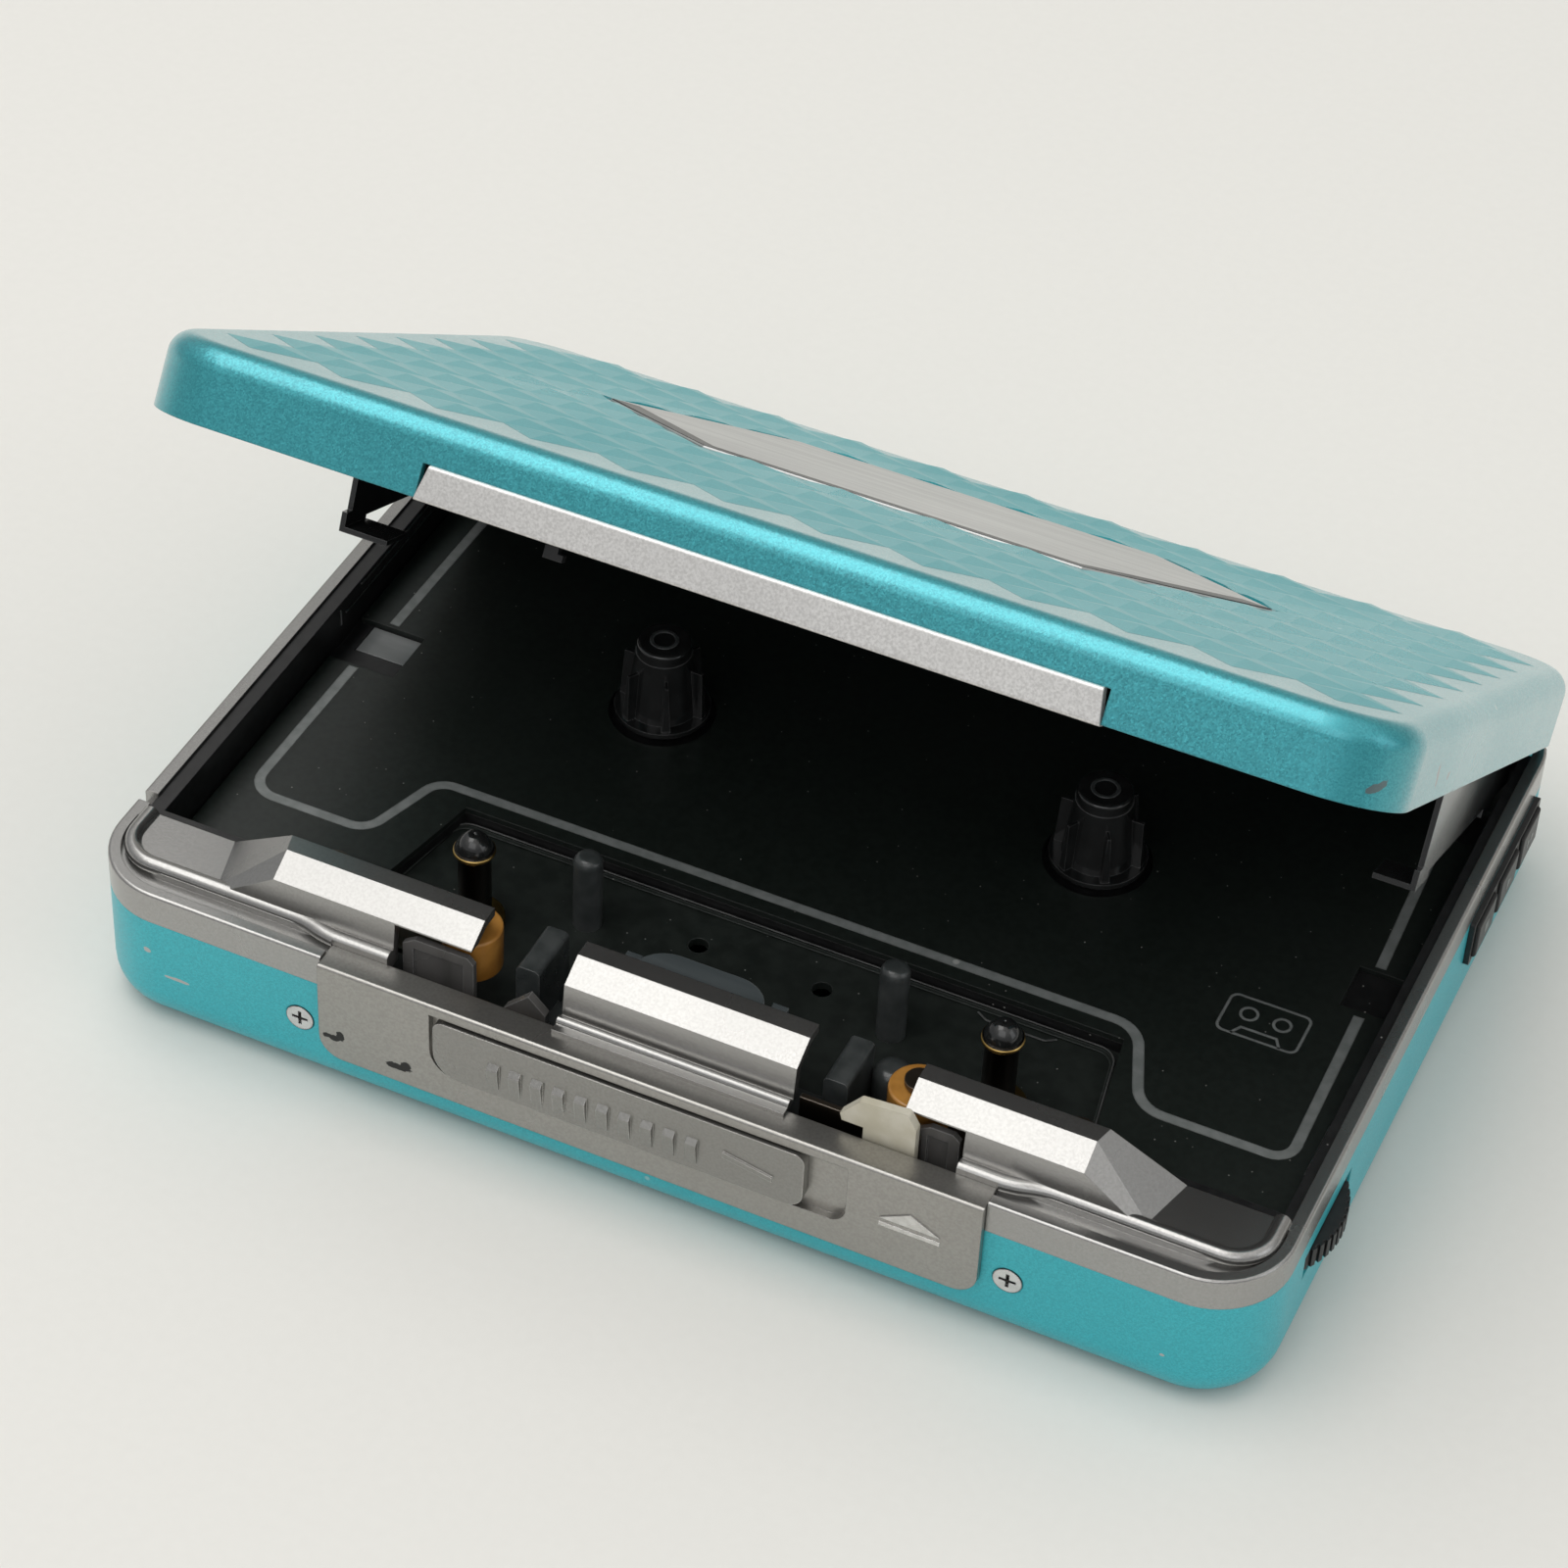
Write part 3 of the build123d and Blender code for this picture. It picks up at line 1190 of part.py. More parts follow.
# Lid
# A drawn metal lid. It is drawn shut here and turned up to its open angle afterwards. A curved
# skirt at the back goes round the hinge line, and an ear at each side takes a hinge pin.
lid_ear_left = (ear_left[0] - 0.7, ear_left[0] - 0.1)
lid_ear_right = (ear_right[1] + 0.1, ear_right[1] + 0.7)
skirt_half = half_width - 6.6
skirt_radius = half_depth - hinge_y
skirt_wall = 0.8
skirt_sweep = 60.0
grip_left = -27.5
grip_right = 31.0
grip_bottom = lid_bottom - 0.15
grip_top = grip_bottom + 3.0
grip_proud = 0.35
plate_tip = 31.4
plate_half_bottom = 17.5
plate_y_low = -3.9
plate_y_mid = 8.8
plate_y_high = 21.5
plate_recess = 0.4
plate_rise = 0.15
plate_margin = 0.35
hinge_line = Axis((0, hinge_y, hinge_z), (1, 0, 0))


def hexagon(grow):
    """The outline of the silver plate, grown on all sides."""
    return [(-plate_tip - grow * 1.2, plate_y_mid), (-plate_half_bottom - grow / 2, plate_y_low - grow),
            (plate_half_bottom + grow / 2, plate_y_low - grow), (plate_tip + grow * 1.2, plate_y_mid),
            (plate_half_bottom + grow / 2, plate_y_high + grow),
            (-plate_half_bottom - grow / 2, plate_y_high + grow)]


with BuildPart() as skirt:
    rod(-skirt_half, skirt_half, hinge_y, hinge_z, skirt_radius)
    rod(-skirt_half - 1, skirt_half + 1, hinge_y, hinge_z, skirt_radius - skirt_wall, mode=Mode.SUBTRACT)
    side_profile([(hinge_y, hinge_z), (hinge_y + 12, hinge_z),
                  (hinge_y + 12 * math.cos(math.radians(skirt_sweep)),
                   hinge_z - 12 * math.sin(math.radians(skirt_sweep)))],
                 -case_width, case_width, mode=Mode.INTERSECT)

with BuildPart() as lid_shell:
    with BuildSketch(Plane.XY.offset(lid_bottom)):
        RectangleRounded(case_width, case_depth, corner_radius)
    extrude(amount=lid_height)
    fillet(lid_shell.faces().sort_by(Axis.Z)[-1].edges(), lid_round)
    with BuildSketch(Plane.XY.offset(lid_bottom)):
        RectangleRounded(case_width - 2 * lid_roof, case_depth - 2 * lid_roof, corner_radius - lid_roof)
    extrude(amount=lid_height - lid_roof - 1.3, mode=Mode.SUBTRACT)
    with BuildSketch(Plane.XY.offset(lid_top - lid_roof - 1.4)):
        RectangleRounded(case_width - 2 * lid_roof, case_depth - 2 * lid_roof, corner_radius - lid_roof)
    extrude(amount=1.4, taper=35, mode=Mode.SUBTRACT)
    slab(hexagon(plate_margin), lid_top - plate_recess, lid_top + 1, mode=Mode.SUBTRACT)
    block(grip_left, grip_right, -half_depth - 1, -half_depth + lid_roof + 0.1, lid_bottom - 1, grip_top,
          mode=Mode.SUBTRACT)
    add(skirt.part)
    for x0, x1 in (lid_ear_left, lid_ear_right):
        block(x0, x1, hinge_y - ear_radius, hinge_y + ear_radius, hinge_z, lid_top - lid_roof + 0.1)
        rod(x0, x1, hinge_y, hinge_z, ear_radius)
    rod(lid_ear_left[0] + 0.1, lid_ear_right[1] - 0.1, hinge_y, hinge_z, hinge_pin_radius + slip,
        mode=Mode.SUBTRACT)
lid_shell.part = lid_shell.part.rotate(hinge_line, -lid_angle)
finish(lid_shell, "lid_shell")

with BuildPart() as lid_plate:
    slab(hexagon(0), lid_top - plate_recess, lid_top + plate_rise)
    chamfer(lid_plate.faces().sort_by(Axis.Z)[-1].edges(), 0.12)
lid_plate.part = lid_plate.part.rotate(hinge_line, -lid_angle)
finish(lid_plate, "lid_plate")

with BuildPart() as grip_bar:
    front_profile([(grip_left, grip_bottom), (grip_right, grip_bottom), (grip_right - 0.5, grip_top),
                   (grip_left + 0.7, grip_top)], -half_depth - grip_proud, -half_depth + lid_roof)
    fillet(grip_bar.edges().filter_by(Axis.X).sort_by(Axis.Y)[:2], 0.3)
grip_bar.part = grip_bar.part.rotate(hinge_line, -lid_angle)
finish(grip_bar, "grip_bar")

# Lid lining
# A black plate under the roof of the lid that carries the two steel catches.
lining_thickness = 0.6
lining_top = lid_top - lid_roof
lining_bottom = lining_top - lining_thickness
catch_left = hook_left - 4.7
ramp_catch_left = ramp_left - 2.0

with BuildPart() as lid_liner:
    block(-half_width + 5.5, half_width - 5.0, front + 3.5, hinge_y - 4.8, lining_bottom, lining_top)
    fillet(lid_liner.edges().filter_by(Axis.Z), 3.0)
lid_liner.part = lid_liner.part.rotate(hinge_line, -lid_angle)
finish(lid_liner, "lid_liner")

with BuildPart() as lid_catches:
    block(catch_left, catch_left + 2.0, hook_front, hook_back, bar_top + 3.1, lining_top)
    block(catch_left, catch_left + 4.1, hook_front, hook_back, bar_top + 3.1, bar_top + 3.8)
    block(ramp_catch_left, ramp_catch_left + 1.2, ramp_front, ramp_back, bar_top + 1.7, lining_bottom)
    block(ramp_catch_left, ramp_catch_left + 1.7, ramp_front, ramp_back, bar_top + 1.7, bar_top + 2.3)
lid_catches.part = lid_catches.part.rotate(hinge_line, -lid_angle)
finish(lid_catches, "lid_catches")

# Cassette holder
# A folded steel tray that hangs on the same pins and lifts the cassette as the lid opens.
holder_front = hinge_y - 33.8
holder_back = hinge_y + 1.2
holder_top = deck_top + cassette_thickness + 0.8
holder_sheet = 0.5
side_bottom = deck_top + free_gap
holder_heel = hinge_z - 2.4
window_margin = 20.2
spring_width = 4.0

with BuildPart() as cassette_holder:
    block(holder_left, holder_right, holder_front, holder_back, holder_top - holder_sheet, holder_top)
    block(holder_left + window_margin, holder_right - window_margin, holder_front + 6, holder_back - 7,
          holder_top - 1, holder_top + 1, mode=Mode.SUBTRACT)
    for x in (holder_left, holder_right - holder_sheet):
        side_profile([(holder_front, side_bottom), (hinge_y - 0.5, side_bottom),
                      (holder_back, holder_heel), (holder_back, holder_top), (holder_front, holder_top)],
                     x, x + holder_sheet)
    block(holder_left, holder_right, holder_back - holder_sheet, holder_back, holder_heel, holder_top)
    for y0, y1 in lip_ends:
        block(holder_left, lip_left, y0, y1, lip_bottom, lip_bottom + holder_sheet)
        block(lip_right, holder_right, y0, y1, lip_bottom, lip_bottom + holder_sheet)
        block(holder_left, holder_left + holder_sheet, y0, y1, lip_bottom, side_bottom + 1)
        block(holder_right - holder_sheet, holder_right, y0, y1, lip_bottom, side_bottom + 1)
    rod(holder_left - 1, holder_right + 1, hinge_y, hinge_z, hinge_pin_radius + slip, mode=Mode.SUBTRACT)
cassette_holder.part = cassette_holder.part.rotate(hinge_line, -holder_angle)
finish(cassette_holder, "cassette_holder")

leaf_front = holder_front + 7.0
leaf_back = leaf_front + 18.0
leaf_top = holder_top - holder_sheet
leaf_sheet = 0.2
leaf_sag = 0.7

with BuildPart() as holder_springs:
    for x in (holder_left + 10.4, holder_right - 14.2):
        side_profile([(leaf_front, leaf_top), (leaf_front, leaf_top - leaf_sheet),
                      (leaf_front + 6, leaf_top - leaf_sag), (leaf_back - 6, leaf_top - leaf_sag),
                      (leaf_back, leaf_top - leaf_sheet), (leaf_back, leaf_top),
                      (leaf_back - 0.5, leaf_top), (leaf_back - 6, leaf_top - leaf_sag + leaf_sheet),
                      (leaf_front + 6, leaf_top - leaf_sag + leaf_sheet), (leaf_front + 0.5, leaf_top)],
                     x, x + spring_width)
holder_springs.part = holder_springs.part.rotate(hinge_line, -holder_angle)
finish(holder_springs, "holder_springs")

# Hinge pins
with BuildPart() as hinge_pins:
    rod(lid_ear_left[0] + 0.2, holder_left + holder_sheet + 0.4, hinge_y, hinge_z, hinge_pin_radius)
    rod(holder_right - holder_sheet - 0.4, lid_ear_right[1] - 0.2, hinge_y, hinge_z, hinge_pin_radius)
finish(hinge_pins, "hinge_pins")

os.makedirs("parts", exist_ok=True)
for part in parts:
    export_step(part, "parts/" + part.label + ".step")
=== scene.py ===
import bmesh
import bpy
import math
from mathutils import Matrix, Vector


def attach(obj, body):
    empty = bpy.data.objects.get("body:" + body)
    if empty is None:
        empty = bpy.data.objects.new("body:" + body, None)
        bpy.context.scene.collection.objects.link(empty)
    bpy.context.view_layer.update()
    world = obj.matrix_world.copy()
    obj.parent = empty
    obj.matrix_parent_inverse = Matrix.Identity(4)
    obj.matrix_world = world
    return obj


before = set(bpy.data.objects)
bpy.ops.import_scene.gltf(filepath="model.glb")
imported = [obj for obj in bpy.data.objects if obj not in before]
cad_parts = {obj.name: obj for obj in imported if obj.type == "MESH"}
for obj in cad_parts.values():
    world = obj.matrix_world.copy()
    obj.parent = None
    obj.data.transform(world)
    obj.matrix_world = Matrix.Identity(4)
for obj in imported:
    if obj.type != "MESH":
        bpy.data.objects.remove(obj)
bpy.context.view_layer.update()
MM = 0.001

# Table and light
# A sheet of pale matte paper, flat under the player and curved up behind it in one sweep, lit by
# two soft boxes and a window. The player lies on it on its flat base.
scene = bpy.context.scene
scene.view_settings.view_transform = "Standard"


def new_material(name):
    material = bpy.data.materials.new(name)
    material.use_nodes = True
    tree = material.node_tree
    return material, tree, tree.nodes["Principled BSDF"]


table_front, table_back, backdrop_top = -1.6, 1.6, 2.2
half_table_width = 3.0
curve_radius, curve_steps = 0.5, 12
sweep = [(table_front, 0.0)]
for step in range(curve_steps + 1):
    turn = math.radians(90 * step / curve_steps)
    sweep.append((table_back + curve_radius * math.sin(turn),
                  curve_radius - curve_radius * math.cos(turn)))
sweep.append((table_back + curve_radius, backdrop_top))
table_points = [(x, y, z) for y, z in sweep for x in (-half_table_width, half_table_width)]
strips = [(2 * i, 2 * i + 1, 2 * i + 3, 2 * i + 2) for i in range(len(sweep) - 1)]
table_mesh = bpy.data.meshes.new("table_top")
table_mesh.from_pydata(table_points, [], strips)
table_top = bpy.data.objects.new("table_top", table_mesh)
scene.collection.objects.link(table_top)
for face in table_mesh.polygons:
    face.use_smooth = True
paper, tree, shader = new_material("matte_paper")
grain = tree.nodes.new("ShaderNodeTexNoise")
grain.inputs["Scale"].default_value = 900
grain.inputs["Detail"].default_value = 4
place = tree.nodes.new("ShaderNodeTexCoord")
tree.links.new(place.outputs["Object"], grain.inputs["Vector"])
tone = tree.nodes.new("ShaderNodeMix")
tone.data_type = "RGBA"
tone.inputs["A"].default_value = (0.745, 0.735, 0.70, 1)
tone.inputs["B"].default_value = (0.775, 0.765, 0.73, 1)
tree.links.new(grain.outputs["Fac"], tone.inputs["Factor"])
tree.links.new(tone.outputs["Result"], shader.inputs["Base Color"])
shader.inputs["Roughness"].default_value = 0.75
table_mesh.materials.append(paper)

room_strength = 0.95
dim_up_to, bright_from = 0.35, 0.95
wall_tint, ceiling_tint = (0.36, 0.365, 0.37, 1), (1.0, 0.99, 0.97, 1)
backdrop_tint = (0.80, 0.79, 0.77, 1)
world = bpy.data.worlds.new("room")
scene.world = world
world.use_nodes = True
room = world.node_tree
ceiling_light = room.nodes["Background"]
ceiling_light.inputs["Strength"].default_value = room_strength
way = room.nodes.new("ShaderNodeTexCoord")
parts = room.nodes.new("ShaderNodeSeparateXYZ")
room.links.new(way.outputs["Generated"], parts.inputs[0])
height = room.nodes.new("ShaderNodeMapRange")
height.inputs["From Min"].default_value = dim_up_to
height.inputs["From Max"].default_value = bright_from
room.links.new(parts.outputs["Z"], height.inputs["Value"])
sky = room.nodes.new("ShaderNodeMix")
sky.data_type = "RGBA"
sky.inputs["A"].default_value = wall_tint
sky.inputs["B"].default_value = ceiling_tint
room.links.new(height.outputs["Result"], sky.inputs["Factor"])
room.links.new(sky.outputs["Result"], ceiling_light.inputs["Color"])
seen_room = room.nodes.new("ShaderNodeBackground")
seen_room.inputs["Color"].default_value = backdrop_tint
seen_room.inputs["Strength"].default_value = 1.0
rays = room.nodes.new("ShaderNodeLightPath")
choose = room.nodes.new("ShaderNodeMixShader")
room.links.new(rays.outputs["Is Camera Ray"], choose.inputs[0])
room.links.new(ceiling_light.outputs[0], choose.inputs[1])
room.links.new(seen_room.outputs[0], choose.inputs[2])
room.links.new(choose.outputs[0], room.nodes["World Output"].inputs["Surface"])


def lamp(name, place, aim, size, power, tint=(1, 1, 1)):
    data = bpy.data.lights.new(name, "AREA")
    data.shape = "RECTANGLE"
    data.size, data.size_y = size
    data.energy = power
    data.color = tint
    light = bpy.data.objects.new(name, data)
    scene.collection.objects.link(light)
    light.location = place
    light.rotation_euler = (Vector(aim) - Vector(place)).to_track_quat("-Z", "Y").to_euler()


player_middle = (0, 0, 0.02)
lamp("softbox_over", (-0.28, -0.02, 0.92), player_middle, (1.05, 0.60), 3.9, (1.0, 0.99, 0.97))
lamp("softbox_front", (0.10, -0.85, 0.85), player_middle, (1.0, 0.6), 1.5, (0.98, 0.985, 1.0))
lamp("window_right", (0.95, 0.0, 0.45), (0, 0, 0.03), (0.5, 0.6), 0.7, (0.95, 0.98, 1.0))

# Camera
# A long lens that looks down at the front right corner. Its place, its turn and its length were
# worked out from the straight edges of the case in the photograph.
camera_place = (0.10687, -0.26875, 0.27988)
camera_turns = (22.717, 42.419, 3.165)
camera_data = bpy.data.cameras.new("camera")
camera_data.sensor_width = 36
camera_data.lens = 102.83
camera_data.clip_start = 0.01
camera = bpy.data.objects.new("camera", camera_data)
scene.collection.objects.link(camera)
azimuth, elevation, roll = (math.radians(angle) for angle in camera_turns)
back = Vector((math.sin(azimuth) * math.cos(elevation), -math.cos(azimuth) * math.cos(elevation),
               math.sin(elevation)))
across = Vector((0, 0, 1)).cross(back).normalized()
upward = back.cross(across)
right = math.cos(roll) * across + math.sin(roll) * upward
up = -math.sin(roll) * across + math.cos(roll) * upward
turn = Matrix((right, up, back)).transposed().to_4x4()
camera.matrix_world = Matrix.Translation(camera_place) @ turn
scene.camera = camera


# Painted shell
# The lower half of the case: an aluminium tray drawn in one piece, sprayed with turquoise
# metal-flake paint and held by screws. The door of the cell's box is of the same sheet and paint.
def group(name, ins, outs):
    tree = bpy.data.node_groups.new(name, "ShaderNodeTree")
    for label, kind, value in ins:
        socket = tree.interface.new_socket(label, in_out="INPUT", socket_type="NodeSocket" + kind)
        if value is not None:
            socket.default_value = value
    for label, kind in outs:
        tree.interface.new_socket(label, in_out="OUTPUT", socket_type="NodeSocket" + kind)
    return tree, tree.nodes.new("NodeGroupInput"), tree.nodes.new("NodeGroupOutput")


def math_node(tree, operation, first, second=None, third=None):
    node = tree.nodes.new("ShaderNodeMath")
    node.operation = operation
    for index, value in enumerate((first, second, third)):
        if value is None:
            continue
        if isinstance(value, (int, float)):
            node.inputs[index].default_value = value
        else:
            tree.links.new(value, node.inputs[index])
    return node.outputs[0]


def vector_node(tree, operation, first, second=None):
    node = tree.nodes.new("ShaderNodeVectorMath")
    node.operation = operation
    for index, value in enumerate((first, second)):
        if value is None:
            continue
        if isinstance(value, tuple):
            node.inputs[index].default_value = value
        elif isinstance(value, (int, float)):
            node.inputs["Scale"].default_value = value
        else:
            tree.links.new(value, node.inputs[index])
    return node


def object_place(tree):
    return tree.nodes.new("ShaderNodeTexCoord").outputs["Object"]


def noise(tree, scale, detail=3, vector=None):
    node = tree.nodes.new("ShaderNodeTexNoise")
    node.inputs["Detail"].default_value = detail
    if isinstance(scale, (int, float)):
        node.inputs["Scale"].default_value = scale
    else:
        tree.links.new(scale, node.inputs["Scale"])
    tree.links.new(vector or object_place(tree), node.inputs["Vector"])
    return node


def ramp(tree, value, low, high, out_low=0.0, out_high=1.0):
    node = tree.nodes.new("ShaderNodeMapRange")
    node.interpolation_type = "SMOOTHSTEP"
    tree.links.new(value, node.inputs["Value"])
    limits = (("From Min", low), ("From Max", high), ("To Min", out_low), ("To Max", out_high))
    for label, number in limits:
        if isinstance(number, (int, float)):
            node.inputs[label].default_value = number
        else:
            tree.links.new(number, node.inputs[label])
    return node.outputs["Result"]


def mixed(tree, factor, first, second):
    node = tree.nodes.new("ShaderNodeMix")
    node.data_type = "RGBA"
    for label, value in (("Factor", factor), ("A", first), ("B", second)):
        if isinstance(value, (int, float)):
            node.inputs[label].default_value = value
        elif isinstance(value, tuple):
            node.inputs[label].default_value = value if len(value) == 4 else (*value, 1)
        else:
            tree.links.new(value, node.inputs[label])
    return node.outputs["Result"]


flake_group, ins, outs = group("metal_flake", [("Scale", "Float", 5000.0), ("Tilt", "Float", 0.25),
                                               ("Normal", "Vector", None)],
                               [("Glint", "Float"), ("Normal", "Vector")])
cells = flake_group.nodes.new("ShaderNodeTexVoronoi")
flake_group.links.new(ins.outputs["Scale"], cells.inputs["Scale"])
flake_group.links.new(object_place(flake_group), cells.inputs["Vector"])
split = flake_group.nodes.new("ShaderNodeSeparateColor")
flake_group.links.new(cells.outputs["Color"], split.inputs["Color"])
flake_group.links.new(split.outputs[0], outs.inputs["Glint"])
offset_cells = vector_node(flake_group, "SUBTRACT", cells.outputs["Color"], (0.5, 0.5, 0.5))
leaned = vector_node(flake_group, "SCALE", offset_cells.outputs[0])
flake_group.links.new(ins.outputs["Tilt"], leaned.inputs["Scale"])
summed = vector_node(flake_group, "ADD", leaned.outputs[0])
flake_group.links.new(ins.outputs["Normal"], summed.inputs[1])
flat = vector_node(flake_group, "NORMALIZE", summed.outputs[0])
flake_group.links.new(flat.outputs[0], outs.inputs["Normal"])

wear_group, ins, outs = group("edge_wear", [("Radius", "Float", 0.0004), ("Amount", "Float", 0.5),
                                            ("Patch Scale", "Float", 260.0)],
                              [("Wear", "Float")])
rounded = wear_group.nodes.new("ShaderNodeBevel")
rounded.samples = 6
wear_group.links.new(ins.outputs["Radius"], rounded.inputs["Radius"])
true_face = wear_group.nodes.new("ShaderNodeNewGeometry")
facing = vector_node(wear_group, "DOT_PRODUCT", rounded.outputs[0], true_face.outputs["Normal"])
edge = math_node(wear_group, "SUBTRACT", 1.0, facing.outputs["Value"])
patches = noise(wear_group, ins.outputs["Patch Scale"], 5)
edge_strength = math_node(wear_group, "MULTIPLY", edge, patches.outputs["Fac"])
eased = math_node(wear_group, "MULTIPLY", ins.outputs["Amount"], 0.26)
limit = math_node(wear_group, "SUBTRACT", 0.30, eased)
worn_through = math_node(wear_group, "ADD", limit, 0.04)
wear_group.links.new(ramp(wear_group, edge_strength, limit, worn_through), outs.inputs["Wear"])

dust_group, ins, outs = group("dust_specks", [("Scale", "Float", 420.0), ("Share", "Float", 0.25)],
                              [("Dust", "Float")])
specks = dust_group.nodes.new("ShaderNodeTexVoronoi")
dust_group.links.new(ins.outputs["Scale"], specks.inputs["Scale"])
dust_group.links.new(object_place(dust_group), specks.inputs["Vector"])
near = ramp(dust_group, specks.outputs["Distance"], 0.05, 0.10, 1.0, 0.0)
pick = dust_group.nodes.new("ShaderNodeSeparateColor")
dust_group.links.new(specks.outputs["Color"], pick.inputs["Color"])
chosen = math_node(dust_group, "LESS_THAN", pick.outputs[0], ins.outputs["Share"])
dust_group.links.new(math_node(dust_group, "MULTIPLY", near, chosen), outs.inputs["Dust"])

chip_group, ins, outs = group("paint_chip",
                              [("Centre", "Vector", (0, 0, 0)), ("Size", "Vector", (1, 1, 1)),
                               ("Rough Edge", "Float", 0.5), ("Edge Scale", "Float", 900.0)],
                              [("Chip", "Float")])
shifted = vector_node(chip_group, "SUBTRACT", object_place(chip_group))
chip_group.links.new(ins.outputs["Centre"], shifted.inputs[1])
shaped = vector_node(chip_group, "DIVIDE", shifted.outputs[0])
chip_group.links.new(ins.outputs["Size"], shaped.inputs[1])
reach = vector_node(chip_group, "LENGTH", shaped.outputs[0])
ragged = noise(chip_group, ins.outputs["Edge Scale"], 4)
uneven = math_node(chip_group, "SUBTRACT", ragged.outputs["Fac"], 0.5)
raise_edge = math_node(chip_group, "MULTIPLY", uneven, ins.outputs["Rough Edge"])
torn = math_node(chip_group, "MULTIPLY", raise_edge, 3.0)
torn_reach = math_node(chip_group, "ADD", reach.outputs["Value"], torn)
chip_group.links.new(ramp(chip_group, torn_reach, 0.85, 1.0, 1.0, 0.0), outs.inputs["Chip"])


def use_group(tree, which, **values):
    node = tree.nodes.new("ShaderNodeGroup")
    node.node_tree = which
    for label, value in values.items():
        socket = node.inputs[label.replace("_", " ")]
        if isinstance(value, (int, float, tuple)):
            socket.default_value = value
        else:
            tree.links.new(value, socket)
    return node


def soft_edges(tree, radius):
    node = tree.nodes.new("ShaderNodeBevel")
    node.samples = 4
    node.inputs["Radius"].default_value = radius
    return node.outputs[0]


def flake_paint(name, dark, light, metallic, roughness, flake_scale, tilt, wear, chips=(),
                bare=(0.45, 0.45, 0.44), radius=0.00025, coat=0.25):
    material, tree, shader = new_material(name)
    flakes = use_group(tree, flake_group, Scale=flake_scale, Tilt=tilt,
                       Normal=soft_edges(tree, radius))
    cloud = noise(tree, 60, 3)
    base = mixed(tree, flakes.outputs["Glint"], dark, light)
    soft = mixed(tree, ramp(tree, cloud.outputs["Fac"], 0.35, 0.7, 0.0, 0.25), base, dark)
    worn = use_group(tree, wear_group, Radius=0.00035, Amount=wear).outputs["Wear"]
    for centre, size in chips:
        chip = use_group(tree, chip_group, Centre=centre, Size=size)
        worn = math_node(tree, "MAXIMUM", worn, chip.outputs["Chip"])
    dusty = use_group(tree, dust_group, Scale=300.0, Share=0.10).outputs["Dust"]
    painted = mixed(tree, worn, soft, bare)
    dust_cover = math_node(tree, "MULTIPLY", dusty, 0.35)
    tree.links.new(mixed(tree, dust_cover, painted, (0.7, 0.7, 0.68)), shader.inputs["Base Color"])
    smears = noise(tree, 35, 6)
    tree.links.new(ramp(tree, smears.outputs["Fac"], 0.3, 0.75, roughness - 0.04, roughness + 0.08),
                   shader.inputs["Roughness"])
    shader.inputs["Metallic"].default_value = metallic
    shader.inputs["Coat Weight"].default_value = coat
    shader.inputs["Coat Roughness"].default_value = 0.22
    tree.links.new(flakes.outputs["Normal"], shader.inputs["Normal"])
    return material


def dress(node, material):
    mesh_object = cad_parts[node]
    if not mesh_object.material_slots:
        mesh_object.data.materials.append(material)
    for entry in mesh_object.material_slots:
        entry.material = material


turquoise_dark = (0.026, 0.400, 0.470)
turquoise_light = (0.045, 0.530, 0.600)
case_scratches = [((-0.0447, -0.039, 0.0061), (0.0012, 0.002, 0.0002)),
                  ((-0.0475, -0.0385, 0.0085), (0.0004, 0.002, 0.0003)),
                  ((0.0462, -0.0385, 0.0052), (0.0003, 0.002, 0.0002))]
case_paint = flake_paint("turquoise_case_paint", turquoise_dark, turquoise_light, metallic=0.25,
                         roughness=0.42, flake_scale=9000.0, tilt=0.10, wear=0.25,
                         chips=case_scratches)
dress("bottom_case", case_paint)
dress("battery_door", case_paint)


